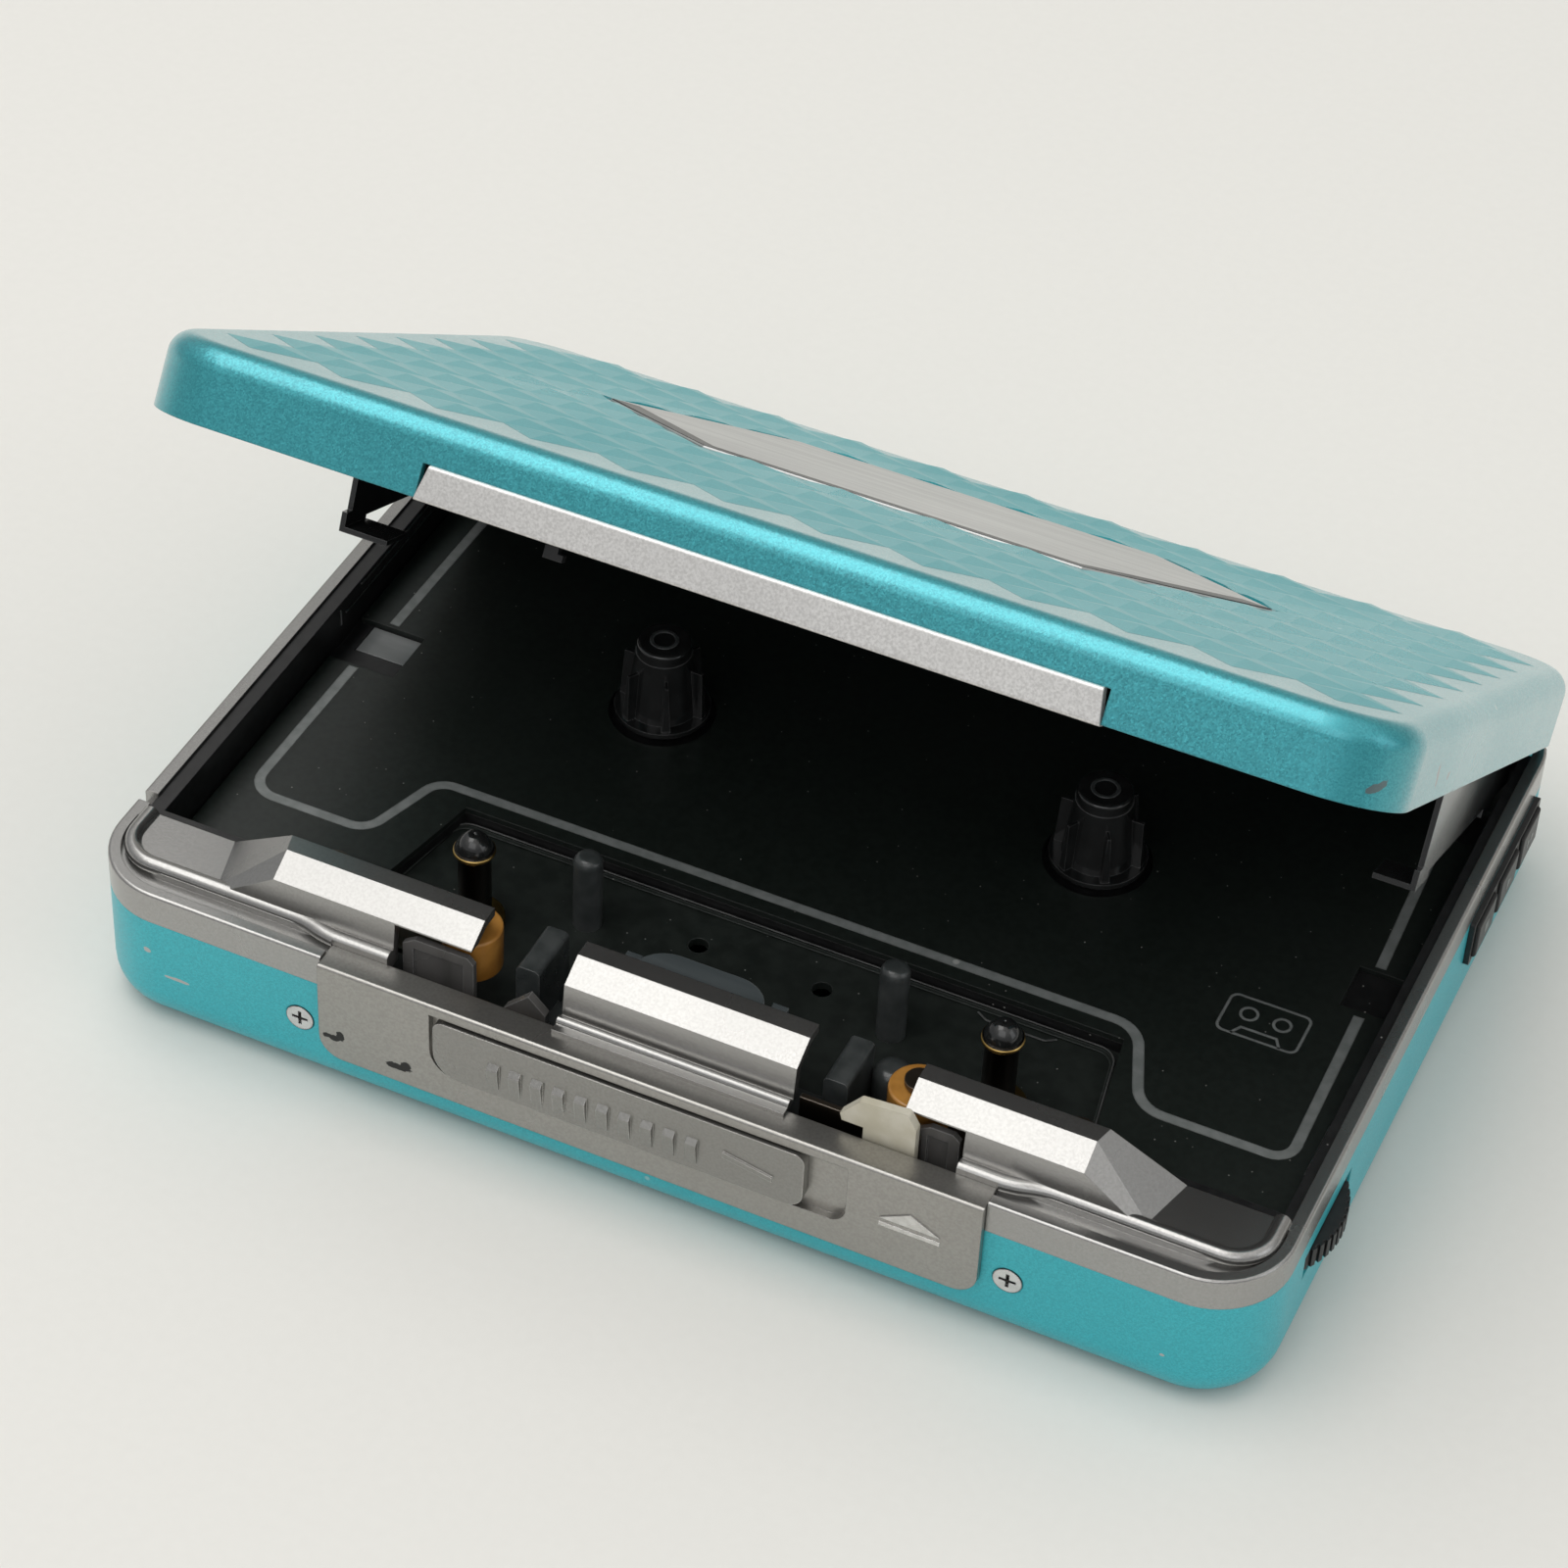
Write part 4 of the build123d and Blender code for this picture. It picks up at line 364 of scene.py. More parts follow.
# Bezel and front panel
# Injection moulded parts sprayed satin silver: the frame round the deck with its two raised covers,
# the cover over the head, and the panel with the sliding catch. The paint is chipped at the front.
def surface(name, dark, light, metallic=0.0, rough=0.4, grain=500.0, stretch=(1, 1, 1), bump=0.02,
            wear=0.1, bare=(0.5, 0.5, 0.5), dust=0.08, coat=0.0, radius=0.00012, smear=0.08,
            chips=(), chip_tone=None, dust_tone=(0.62, 0.61, 0.58), dust_size=260.0):
    material, tree, shader = new_material(name)
    scaled = vector_node(tree, "MULTIPLY", object_place(tree), stretch)
    fine = noise(tree, grain, 5, scaled.outputs[0])
    cloud = noise(tree, 70, 4)
    base = mixed(tree, ramp(tree, fine.outputs["Fac"], 0.3, 0.7), dark, light)
    base = mixed(tree, ramp(tree, cloud.outputs["Fac"], 0.4, 0.7, 0.0, 0.3), base, dark)
    if wear:
        worn = use_group(tree, wear_group, Radius=0.0003, Amount=wear).outputs["Wear"]
        base = mixed(tree, worn, base, bare)
    for centre, size in chips:
        chip = use_group(tree, chip_group, Centre=centre, Size=size, Edge_Scale=1500.0)
        base = mixed(tree, chip.outputs["Chip"], base, chip_tone or bare)
    dusty = use_group(tree, dust_group, Scale=dust_size, Share=dust).outputs["Dust"]
    dust_cover = math_node(tree, "MULTIPLY", dusty, 0.5)
    tree.links.new(mixed(tree, dust_cover, base, dust_tone), shader.inputs["Base Color"])
    smears = noise(tree, 45, 6)
    tree.links.new(ramp(tree, smears.outputs["Fac"], 0.3, 0.75, rough - smear / 2, rough + smear),
                   shader.inputs["Roughness"])
    shader.inputs["Metallic"].default_value = metallic
    shader.inputs["Coat Weight"].default_value = coat
    shader.inputs["Coat Roughness"].default_value = 0.1
    raise_node = tree.nodes.new("ShaderNodeBump")
    raise_node.inputs["Strength"].default_value = bump
    raise_node.inputs["Distance"].default_value = 0.0002
    tree.links.new(fine.outputs["Fac"], raise_node.inputs["Height"])
    tree.links.new(soft_edges(tree, radius), raise_node.inputs["Normal"])
    tree.links.new(raise_node.outputs[0], shader.inputs["Normal"])
    return material


silver_paint = surface("silver_bezel_paint", (0.37, 0.365, 0.355), (0.42, 0.415, 0.405),
                       metallic=0.92, rough=0.25, grain=4200.0, bump=0.025, wear=0.35,
                       bare=(0.20, 0.19, 0.18), dust=0.04, radius=0.00008, smear=0.05)
panel_chips = [((-0.0291, -0.0397, 0.0070), (0.0009, 0.002, 0.00035)),
               ((-0.0284, -0.0397, 0.0074), (0.0004, 0.002, 0.0005)),
               ((-0.0228, -0.0397, 0.0063), (0.0013, 0.002, 0.0004)),
               ((-0.0221, -0.0397, 0.0068), (0.0005, 0.002, 0.0006))]
panel_paint = surface("silver_panel_paint", (0.345, 0.335, 0.315), (0.40, 0.39, 0.37),
                      metallic=0.92, rough=0.30, grain=4200.0, bump=0.035, wear=0.45,
                      bare=(0.14, 0.135, 0.13), dust=0.04, radius=0.00012, smear=0.06,
                      chip_tone=(0.04, 0.04, 0.04), chips=panel_chips)
slider_metal = surface("slider_satin_metal", (0.285, 0.28, 0.265), (0.33, 0.325, 0.31),
                       metallic=0.92, rough=0.30, grain=4200.0, bump=0.035, wear=0.55,
                       bare=(0.80, 0.78, 0.75), dust=0.04, radius=0.00012)
dress("bezel_frame", silver_paint)
dress("head_cover", silver_paint)
dress("front_panel", panel_paint)
dress("open_slider", slider_metal)


def plain_mesh(name, points, faces, materials, body, smooth=False):
    mesh = bpy.data.meshes.new(name)
    mesh.from_pydata([tuple(c * MM for c in p) for p in points], [], faces)
    for material in materials:
        mesh.materials.append(material)
    for face in mesh.polygons:
        face.use_smooth = smooth
    mesh.validate()
    mesh.update()
    piece = bpy.data.objects.new(name, mesh)
    scene.collection.objects.link(piece)
    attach(piece, body)
    return piece


def face_outwards(piece):
    shape = bmesh.new()
    shape.from_mesh(piece.data)
    bmesh.ops.recalc_face_normals(shape, faces=shape.faces)
    shape.to_mesh(piece.data)
    shape.free()


def raised_outlines(name, outlines, low, high, place, material, body):
    # Flat outlines given thickness; place puts (a, b, height) into the model's frame.
    points, faces = [], []
    for outline in outlines:
        count, base = len(outline), len(points)
        points += [place(a, b, low) for a, b in outline] + [place(a, b, high) for a, b in outline]
        faces.append(tuple(range(base + count, base + 2 * count)))
        faces.append(tuple(range(base + count - 1, base - 1, -1)))
        for i in range(count):
            after = (i + 1) % count
            faces.append((base + i, base + after, base + count + after, base + count + i))
    face_outwards(plain_mesh(name, points, faces, [material], body))


panel_front = -39.65
# The raised open sign is painted far lighter than the panel, with still brighter edges: a painted
# highlight.
sign_highlight_paint = surface("sign_painted_highlight", (0.62, 0.61, 0.59), (0.74, 0.73, 0.71), metallic=0.95,
                     rough=0.26, grain=1500.0, bump=0.06, wear=0.3, bare=(0.9, 0.88, 0.85))
open_triangle = [(21.4, 9.9), (26.8, 9.9), (24.1, 11.4)]
open_bar = [(21.4, 9.0), (26.8, 9.0), (26.8, 9.45), (21.4, 9.45)]
raised_outlines("open_sign", [open_triangle, open_bar], 0.02, -0.12,
                lambda a, b, h: (a, panel_front + h, b), sign_highlight_paint, "base")

# Screws
# Small cross-head steel screws, two in the front wall and four under the case, which hold the
# painted tray to the chassis. The crosses are painted shade: two dark crossed bars on a screw's
# middle.
screw_steel = surface("bright_screw_steel", (0.62, 0.62, 0.62), (0.74, 0.74, 0.74), metallic=1.0,
                      rough=0.22, grain=1500.0, wear=0.3, bare=(0.2, 0.2, 0.2), dust=0.05)
# Dark crossed bars on the screw heads: painted shade for the shade in the cross recesses.
cross_shade = surface("painted_cross_shade", (0.008, 0.008, 0.008), (0.03, 0.028, 0.025), metallic=0.0,
               rough=0.8, grain=2500.0, bump=0.3, wear=0)
dress("case_screws", screw_steel)


def repeat_tree(name, inputs):
    tree = bpy.data.node_groups.new(name, "GeometryNodeTree")
    tree.interface.new_socket("Geometry", in_out="INPUT", socket_type="NodeSocketGeometry")
    for label, value in inputs:
        kind = "NodeSocketInt" if isinstance(value, int) else "NodeSocketFloat"
        tree.interface.new_socket(label, in_out="INPUT", socket_type=kind).default_value = value
    tree.interface.new_socket("Geometry", in_out="OUTPUT", socket_type="NodeSocketGeometry")
    return tree, tree.nodes.new("NodeGroupInput"), tree.nodes.new("NodeGroupOutput")


def repeat_mesh(name, tree, points, values, material):
    # Runs a node tree on a mesh of guide points and keeps what it makes as a plain mesh.
    guide = bpy.data.meshes.new(name + "_guide")
    guide.from_pydata(points, [], [])
    holder = bpy.data.objects.new(name + "_guide", guide)
    scene.collection.objects.link(holder)
    repeat = holder.modifiers.new("repeat", "NODES")
    repeat.node_group = tree
    labels = {item.name: item.identifier for item in tree.interface.items_tree
              if item.in_out == "INPUT"}
    for label, value in values.items():
        repeat[labels[label]] = value
    made = holder.evaluated_get(bpy.context.evaluated_depsgraph_get())
    mesh = bpy.data.meshes.new_from_object(made)
    holder.modifiers.clear()
    bpy.data.objects.remove(holder)
    if material and not mesh.materials:
        mesh.materials.append(material)
    return mesh


def keep_mesh(name, mesh, body):
    mesh.name = name
    piece = bpy.data.objects.new(name, mesh)
    scene.collection.objects.link(piece)
    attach(piece, body)
    return piece


cross_arm, cross_width, cross_depth = 1.46 * MM, 0.28 * MM, 0.1 * MM
crosses, ins, outs = repeat_tree("screw_crosses", [("Arm", cross_arm), ("Width", cross_width),
                                                   ("Depth", cross_depth)])
arm_size = crosses.nodes.new("ShaderNodeCombineXYZ")
crosses.links.new(ins.outputs["Arm"], arm_size.inputs[0])
crosses.links.new(ins.outputs["Width"], arm_size.inputs[1])
crosses.links.new(ins.outputs["Depth"], arm_size.inputs[2])
arm = crosses.nodes.new("GeometryNodeMeshCube")
crosses.links.new(arm_size.outputs[0], arm.inputs["Size"])
turned = crosses.nodes.new("GeometryNodeTransform")
turned.inputs["Rotation"].default_value = (0, 0, math.radians(90))
crosses.links.new(arm.outputs["Mesh"], turned.inputs["Geometry"])
both = crosses.nodes.new("GeometryNodeJoinGeometry")
crosses.links.new(arm.outputs["Mesh"], both.inputs[0])
crosses.links.new(turned.outputs[0], both.inputs[0])
spread = crosses.nodes.new("GeometryNodeInstanceOnPoints")
crosses.links.new(ins.outputs["Geometry"], spread.inputs["Points"])
crosses.links.new(both.outputs[0], spread.inputs["Instance"])
real = crosses.nodes.new("GeometryNodeRealizeInstances")
crosses.links.new(spread.outputs[0], real.inputs[0])
coloured = crosses.nodes.new("GeometryNodeSetMaterial")
coloured.inputs["Material"].default_value = cross_shade
crosses.links.new(real.outputs[0], coloured.inputs["Geometry"])
crosses.links.new(coloured.outputs[0], outs.inputs[0])
cross_sizes = {"Arm": cross_arm, "Width": cross_width, "Depth": cross_depth}
under_cross_z, front_cross_y, front_cross_z = 0.48, -38.72, 7.15
under_screws = [(x * MM, y * MM, under_cross_z * MM) for x in (-45.5, 45.5) for y in (-33.0, 33.9)]
keep_mesh("cross_shade_under",
          repeat_mesh("cross_shade_under", crosses, under_screws, cross_sizes, cross_shade), "base")
front_screws = [(x * MM, front_cross_z * MM, 0) for x in (-32.6, 32.6)]
front_crosses = repeat_mesh("cross_shade_front", crosses, front_screws, cross_sizes, cross_shade)
front_crosses.transform(Matrix.Translation((0, front_cross_y * MM, 0))
                        @ Matrix.Rotation(math.radians(90), 4, "X"))
keep_mesh("cross_shade_front", front_crosses, "base")

# Catch
# A bar pressed from steel sheet slides behind the front panel with the open slide. It carries an
# ivory acetal hook, which holds the lid's catch, and a coil spring pushes it back.
steel = surface("plated_steel", (0.46, 0.46, 0.46), (0.62, 0.61, 0.60), metallic=1.0, rough=0.30,
                grain=260.0, stretch=(0.08, 1, 1), bump=0.04, wear=0.3, bare=(0.25, 0.2, 0.15))
brown_steel = surface("oiled_steel", (0.10, 0.08, 0.06), (0.20, 0.165, 0.13), metallic=1.0,
                      rough=0.32, grain=400.0, stretch=(0.1, 1, 1), bump=0.05, wear=0.5,
                      bare=(0.5, 0.45, 0.4))
ivory = surface("ivory_acetal", (0.58, 0.54, 0.42), (0.68, 0.645, 0.54), metallic=0.0, rough=0.36,
                grain=500.0, wear=0.25, bare=(0.30, 0.25, 0.17))
dress("latch_bar", brown_steel)
dress("latch_hook", ivory)
dress("slider_spring", steel)

# Chassis and deck
# The chassis is moulded in black plastic. The deck on it is a thin sheet painted black, with a
# border and a cassette sign printed in grey ink. Dust lies on both.
black_plastic = surface("black_moulded_plastic", (0.006, 0.006, 0.0065), (0.013, 0.013, 0.0135),
                        metallic=0.0, rough=0.38, grain=900.0, bump=0.06, wear=0.25,
                        bare=(0.08, 0.08, 0.08), dust=0.12, dust_size=900.0)
deck_paint = surface("black_deck_paint", (0.0075, 0.0108, 0.0088), (0.0125, 0.0172, 0.0145),
                     metallic=0.0, rough=0.42, grain=1600.0, bump=0.05, wear=0.15,
                     bare=(0.08, 0.08, 0.08), dust=0.16, dust_size=1300.0, coat=0.05)
floor_paint = surface("black_floor_paint", (0.0085, 0.0120, 0.0100), (0.018, 0.023, 0.020),
                      metallic=0.0, rough=0.48, grain=700.0, bump=0.15, wear=0.45,
                      bare=(0.10, 0.11, 0.105), dust=0.30, dust_size=1200.0)
smoke_plastic = surface("smoke_grey_plastic", (0.035, 0.040, 0.040), (0.070, 0.076, 0.076),
                        metallic=0.0, rough=0.26, grain=500.0, wear=0.3, bare=(0.3, 0.3, 0.3),
                        dust=0.1, coat=0.3)
# The holder rest is a glossy black tab painted pale grey: a painted reflection.
grey_reflection_plastic = surface("black_plastic_painted_grey_reflection", (0.13, 0.14, 0.14), (0.24, 0.25, 0.25), metallic=0.0,
                     rough=0.25, grain=300.0, stretch=(0.2, 1, 1), wear=0.4, bare=(0.7, 0.7, 0.7),
                     dust=0.1, coat=0.4)
clear_smoke = surface("clear_smoke_plastic", (0.085, 0.082, 0.078), (0.15, 0.145, 0.14),
                      metallic=0.0, rough=0.22, grain=300.0, stretch=(1, 1, 0.3), wear=0.5,
                      bare=(0.5, 0.5, 0.5), dust=0.1, coat=0.5)
dress("chassis", black_plastic)
dress("deck_plate", deck_paint)
dress("mech_plate", floor_paint)
dress("holder_rest", grey_reflection_plastic)


def rounded_path(corners, steps=7):
    # corners: (x, y, radius); returns a path with its inner corners rounded.
    path = []
    for index, (x, y, radius) in enumerate(corners):
        if index in (0, len(corners) - 1) or not radius:
            path.append(Vector((x, y)))
            continue
        here = Vector((x, y))
        back_way = (Vector(corners[index - 1][:2]) - here).normalized()
        on_way = (Vector(corners[index + 1][:2]) - here).normalized()
        half = back_way.angle(on_way) / 2
        reach = radius / math.tan(half)
        middle = here + (back_way + on_way).normalized() * radius / math.sin(half)
        first, last = here + back_way * reach - middle, here + on_way * reach - middle
        sweep_angle = first.angle_signed(last)
        for step in range(steps + 1):
            angle = -sweep_angle * step / steps
            path.append(middle + Vector((first.x * math.cos(angle) - first.y * math.sin(angle),
                                         first.x * math.sin(angle) + first.y * math.cos(angle))))
    return path


def ribbon(path, width):
    # The outline of a flat line of even width along an open path.
    left, right_side = [], []
    for index, point in enumerate(path):
        before = (point - path[index - 1]).normalized() if index else None
        after = (path[index + 1] - point).normalized() if index < len(path) - 1 else None
        along = ((before or after) + (after or before)).normalized()
        side = Vector((-along.y, along.x))
        stretch = 1 / max(0.5, side.dot(Vector((-(after or before).y, (after or before).x))))
        left.append(point + side * width / 2 * stretch)
        right_side.append(point - side * width / 2 * stretch)
    return left, right_side


line_depth = 0.04


def printed_line(name, paths, width, top, material, body):
    # A flat line of ink, or a low ridge, along each of the paths.
    points, faces = [], []
    for path in paths:
        left, right_side = ribbon(path, width)
        base = len(points)
        for a, b in zip(left, right_side):
            points += [(a.x, a.y, top), (b.x, b.y, top)]
            points += [(b.x, b.y, top - line_depth), (a.x, a.y, top - line_depth)]
        for index in range(len(left) - 1):
            here, after = base + 4 * index, base + 4 * index + 4
            for k in range(4):
                faces.append((here + k, here + (k + 1) % 4, after + (k + 1) % 4, after + k))
        last = base + 4 * (len(left) - 1)
        faces += [(base, base + 3, base + 2, base + 1), (last, last + 1, last + 2, last + 3)]
    face_outwards(plain_mesh(name, points, faces, [material], body))


deck_top = 10.8
ink_top = deck_top + 0.02
print_ink = surface("grey_printing_ink", (0.175, 0.19, 0.185), (0.235, 0.25, 0.245), metallic=0.0,
                    rough=0.42, grain=900.0, bump=0.05, wear=0.15, bare=(0.05, 0.05, 0.05),
                    dust=0.15)
border = [rounded_path([(-47.6, 23.2, 0), (-47.9, 6.0, 0)]),
          rounded_path([(-48.4, -0.8, 0), (-48.6, -19.4, 2.4), (-36.9, -19.4, 2.4),
                        (-34.2, -10.9, 2.2), (32.6, -10.9, 3.2), (35.9, -19.6, 3.2),
                        (49.3, -19.6, 1.8), (48.9, -1.2, 0)]),
          rounded_path([(48.6, 5.2, 0), (47.9, 23.2, 0)])]
printed_line("printed_border", border, 1.0, ink_top, print_ink, "base")
tape_x, tape_y = 41.9, -5.6
half_sign_width, half_sign_height, hub_offset, hub_radius = 3.6, 2.3, 1.5, 0.75
sign_left, sign_right = tape_x - half_sign_width, tape_x + half_sign_width
sign_bottom, sign_top = tape_y - half_sign_height, tape_y + half_sign_height
cassette_sign = [rounded_path([(tape_x, sign_bottom, 0), (sign_right, sign_bottom, 0.7),
                               (sign_right, sign_top, 0.7), (sign_left, sign_top, 0.7),
                               (sign_left, sign_bottom, 0.7), (tape_x, sign_bottom, 0)]),
                 rounded_path([(tape_x - 2.2, sign_bottom, 0), (tape_x - 1.6, tape_y - 1.3, 0),
                               (tape_x + 1.6, tape_y - 1.3, 0), (tape_x + 2.2, sign_bottom, 0)])]
for side in (-1, 1):
    hub_x, hub_y = tape_x + side * hub_offset, tape_y + 0.45
    cassette_sign.append([Vector((hub_x + hub_radius * math.cos(step * math.pi / 8),
                                  hub_y + hub_radius * math.sin(step * math.pi / 8)))
                          for step in range(17)])
printed_line("printed_cassette_sign", cassette_sign, 0.28, ink_top, print_ink, "base")

# Ridge round the recess
# The deck sheet is rolled down round the recess of the head and the rollers. A thin bright line
# along the low ridge in the sheet, and one round the small notch beside it, are painted highlights.
recess_ridge = rounded_path([(-33.3, -27.0, 0), (-30.9, -13.4, 1.8), (31.6, -13.4, 1.8),
                             (34.0, -27.0, 0)])
ridge_top, highlight_top, notch_top = 9.22, 9.34, 9.2
printed_line("recess_ridge", [recess_ridge], 0.45, ridge_top, floor_paint, "base")
# Bright line colour: a painted highlight on the edges of the ridge and the notch.
ridge_highlight = surface("painted_ridge_highlight", (0.05, 0.055, 0.053), (0.17, 0.175, 0.17), metallic=0.4,
                      rough=0.35, grain=300.0, bump=0.2, wear=0.4, bare=(0.3, 0.3, 0.3))
highlight_line = [point + Vector((0, 0.35)) for point in recess_ridge]
printed_line("recess_ridge_highlight", [highlight_line], 0.14, highlight_top, ridge_highlight, "base")
notch_line = rounded_path([(19.2, -13.9, 0), (20.2, -14.5, 0.4), (25.6, -14.5, 0.4),
                           (26.5, -13.9, 0)])
printed_line("recess_notch_highlight", [notch_line], 0.18, notch_top, ridge_highlight, "base")

# Painted wall highlights
# Thin bright strips with rounded edges on the two side walls of the well: painted highlights on the
# steps of the walls. The same bright steel colour serves the real leaf springs of the holder.
# Bright steel colour: real for the holder's leaf springs, a painted highlight on the wall strips.
steel_and_wall_highlight = surface("bright_steel_and_painted_wall_highlight", (0.50, 0.50, 0.50), (0.70, 0.70, 0.70), metallic=1.0,
                     rough=0.28, grain=500.0, stretch=(1, 0.1, 1), bump=0.04, wear=0.4,
                     bare=(0.2, 0.2, 0.2))
left_wall, right_wall, highlight_depth, highlight_round = -51.32, 51.82, 0.12, 0.04


def wall_strip(name, wall_x, into, y0, y1, z0, z1):
    x0, x1 = wall_x, wall_x + into
    box = [(x, y, z) for x in (x0, x1) for y in (y0, y1) for z in (z0, z1)]
    sides = [(0, 1, 3, 2), (4, 6, 7, 5), (0, 4, 5, 1), (2, 3, 7, 6), (0, 2, 6, 4), (1, 5, 7, 3)]
    piece = plain_mesh(name, box, sides, [steel_and_wall_highlight], "base")
    face_outwards(piece)
    shape = bmesh.new()
    shape.from_mesh(piece.data)
    bmesh.ops.bevel(shape, geom=shape.edges[:], offset=highlight_round * MM, segments=1, affect="EDGES")
    shape.to_mesh(piece.data)
    shape.free()


wall_strip("wall_highlight_left_upper", left_wall, highlight_depth, 6.0, 24.0, 14.35, 14.55)
wall_strip("wall_highlight_left_lower", left_wall, highlight_depth, 3.0, 20.0, 13.2, 13.38)
wall_strip("wall_highlight_left_stop", left_wall, highlight_depth, 2.0, 2.25, 12.4, 14.2)
wall_strip("wall_highlight_right_upper", right_wall, -highlight_depth, 8.0, 24.0, 14.3, 14.5)
wall_strip("wall_highlight_right_front", right_wall, -highlight_depth, -24.0, -18.0, 14.5, 14.68)

# Drive
# Steel shafts in brass bushes with flywheels pressed on below, a motor with its belt and pulleys,
# and reel spindles moulded in black plastic. All stand on the steel plates under the deck.
brass = surface("brass", (0.42, 0.27, 0.08), (0.62, 0.44, 0.16), metallic=1.0, rough=0.26,
                grain=600.0, stretch=(0.2, 1, 1), bump=0.03, wear=0.3, bare=(0.75, 0.6, 0.3))
gloss_black = surface("gloss_black_plastic", (0.010, 0.0105, 0.0105), (0.018, 0.019, 0.019),
                      metallic=0.0, rough=0.17, grain=600.0, wear=0.45, bare=(0.16, 0.16, 0.16),
                      dust=0.06, coat=0.6, dust_size=900.0)
# The polished capstan shafts are painted dark and warm: a painted reflection of the dark well round
# them.
shaft_steel_dark_reflection = surface("shaft_steel_painted_dark_reflection", (0.05, 0.045, 0.04), (0.12, 0.105, 0.09), metallic=1.0,
                     rough=0.24, grain=500.0, stretch=(1, 1, 0.1), bump=0.03, wear=0.3,
                     bare=(0.5, 0.45, 0.4))
rubber = surface("belt_rubber", (0.012, 0.012, 0.012), (0.03, 0.03, 0.03), metallic=0.0, rough=0.75,
                 grain=700.0, bump=0.1, wear=0.0)
motor_steel = surface("motor_can_steel", (0.34, 0.34, 0.34), (0.50, 0.50, 0.49), metallic=1.0,
                      rough=0.34, grain=300.0, stretch=(1, 1, 0.1), bump=0.05, wear=0.2,
                      bare=(0.2, 0.2, 0.2))
white_nylon = surface("white_nylon", (0.62, 0.61, 0.57), (0.74, 0.73, 0.69), metallic=0.0,
                      rough=0.42, grain=500.0, wear=0.1, bare=(0.4, 0.4, 0.38))
for node in ("capstan_bushes", "motor_pulley"):
    dress(node, brass)
for node in ("capstan_left", "capstan_right"):
    dress(node, shaft_steel_dark_reflection)
for node in ("flywheel_left", "flywheel_right", "motor"):
    dress(node, motor_steel)
for node in ("reel_spindle_left", "reel_spindle_right"):
    dress(node, gloss_black)
dress("guide_posts", smoke_plastic)
dress("roller_guards", clear_smoke)
dress("latch_ramp", clear_smoke)
dress("spindle_posts", steel)
dress("reel_plate", steel)
dress("belt_idler", white_nylon)
dress("drive_belt", rubber)


def turned_piece(name, profile, x, y, material, body, steps=40):
    # A turned piece: (radius, height) points swept round an upright axis.
    points, faces = [], []
    for radius, z in profile:
        points += [(x + radius * math.cos(2 * math.pi * k / steps),
                    y + radius * math.sin(2 * math.pi * k / steps), z) for k in range(steps)]
    for ring in range(len(profile)):
        following = (ring + 1) % len(profile)
        for k in range(steps):
            faces.append((ring * steps + k, ring * steps + (k + 1) % steps,
                          following * steps + (k + 1) % steps, following * steps + k))
    face_outwards(plain_mesh(name, points, faces, [material], body, True))


capstan_y, spindle_y = -23.5, 6.8
ring_profile = [(1.40, 17.3), (1.82, 17.3), (1.86, 17.4), (1.82, 17.62), (1.40, 17.72)]
tip_profile = [(0.02, 17.75), (1.62, 17.75), (1.64, 17.95), (1.2, 18.7), (0.62, 19.28),
               (0.42, 19.32), (0.02, 19.32)]
spindle_profile = [(0.95, 19.16), (1.35, 19.16), (1.35, 19.23), (1.25, 19.26), (1.05, 19.26),
                   (0.95, 19.23)]
for side, x in (("left", -24.0), ("right", 24.9)):
    shaft = "capstan_" + side + "_turning"
    turned_piece("capstan_ring_" + side, ring_profile, x, capstan_y, brass, shaft)
    turned_piece("capstan_tip_" + side, tip_profile, x, capstan_y, gloss_black, shaft)
for side, x in (("left", -20.8), ("right", 21.7)):
    turned_piece("spindle_top_ring_" + side, spindle_profile, x, spindle_y, smoke_plastic,
                 "reel_" + side)

# Head and pinch rollers
# The head, a metal can with its cores inside, is fixed on a sliding plate. Two polyurethane
# rollers turn on small steel arms, which press them against the shafts.
head_metal = surface("head_blue_grey", (0.075, 0.090, 0.095), (0.115, 0.132, 0.138), metallic=0.25,
                     rough=0.30, grain=500.0, stretch=(0.1, 1, 1), bump=0.03, wear=0.3,
                     bare=(0.4, 0.42, 0.42), coat=0.2)
amber = surface("amber_polyurethane", (0.34, 0.145, 0.025), (0.60, 0.29, 0.065), metallic=0.0,
                rough=0.28, grain=300.0, wear=0.2, bare=(0.75, 0.5, 0.2), coat=0.3)
dress("head_plate", smoke_plastic)
dress("tape_head", head_metal)
dress("pinch_arm_left", brown_steel)
dress("pinch_arm_right", brown_steel)
dress("pinch_roller_left", amber)
dress("pinch_roller_right", amber)

# Electronics
# A green circuit board with the volume control and the headphone socket soldered to it, and the
# wrapped cell in its box between two gilt contacts.
board_green = surface("green_circuit_board", (0.010, 0.09, 0.035), (0.020, 0.16, 0.06),
                      metallic=0.0, rough=0.35, grain=500.0, wear=0.2, bare=(0.4, 0.3, 0.1),
                      coat=0.3)
cell_wrap = surface("cell_wrap", (0.35, 0.36, 0.38), (0.50, 0.51, 0.53), metallic=0.3, rough=0.35,
                    grain=300.0, wear=0.3, bare=(0.7, 0.7, 0.7))
gold = surface("gilt_contact", (0.55, 0.40, 0.14), (0.75, 0.58, 0.25), metallic=1.0, rough=0.25,
               grain=400.0, wear=0.3, bare=(0.5, 0.5, 0.5))
dress("circuit_board", board_green)
dress("volume_pot", black_plastic)
dress("volume_wheel", black_plastic)
dress("headphone_jack", black_plastic)
dress("battery", cell_wrap)
dress("battery_contacts", gold)

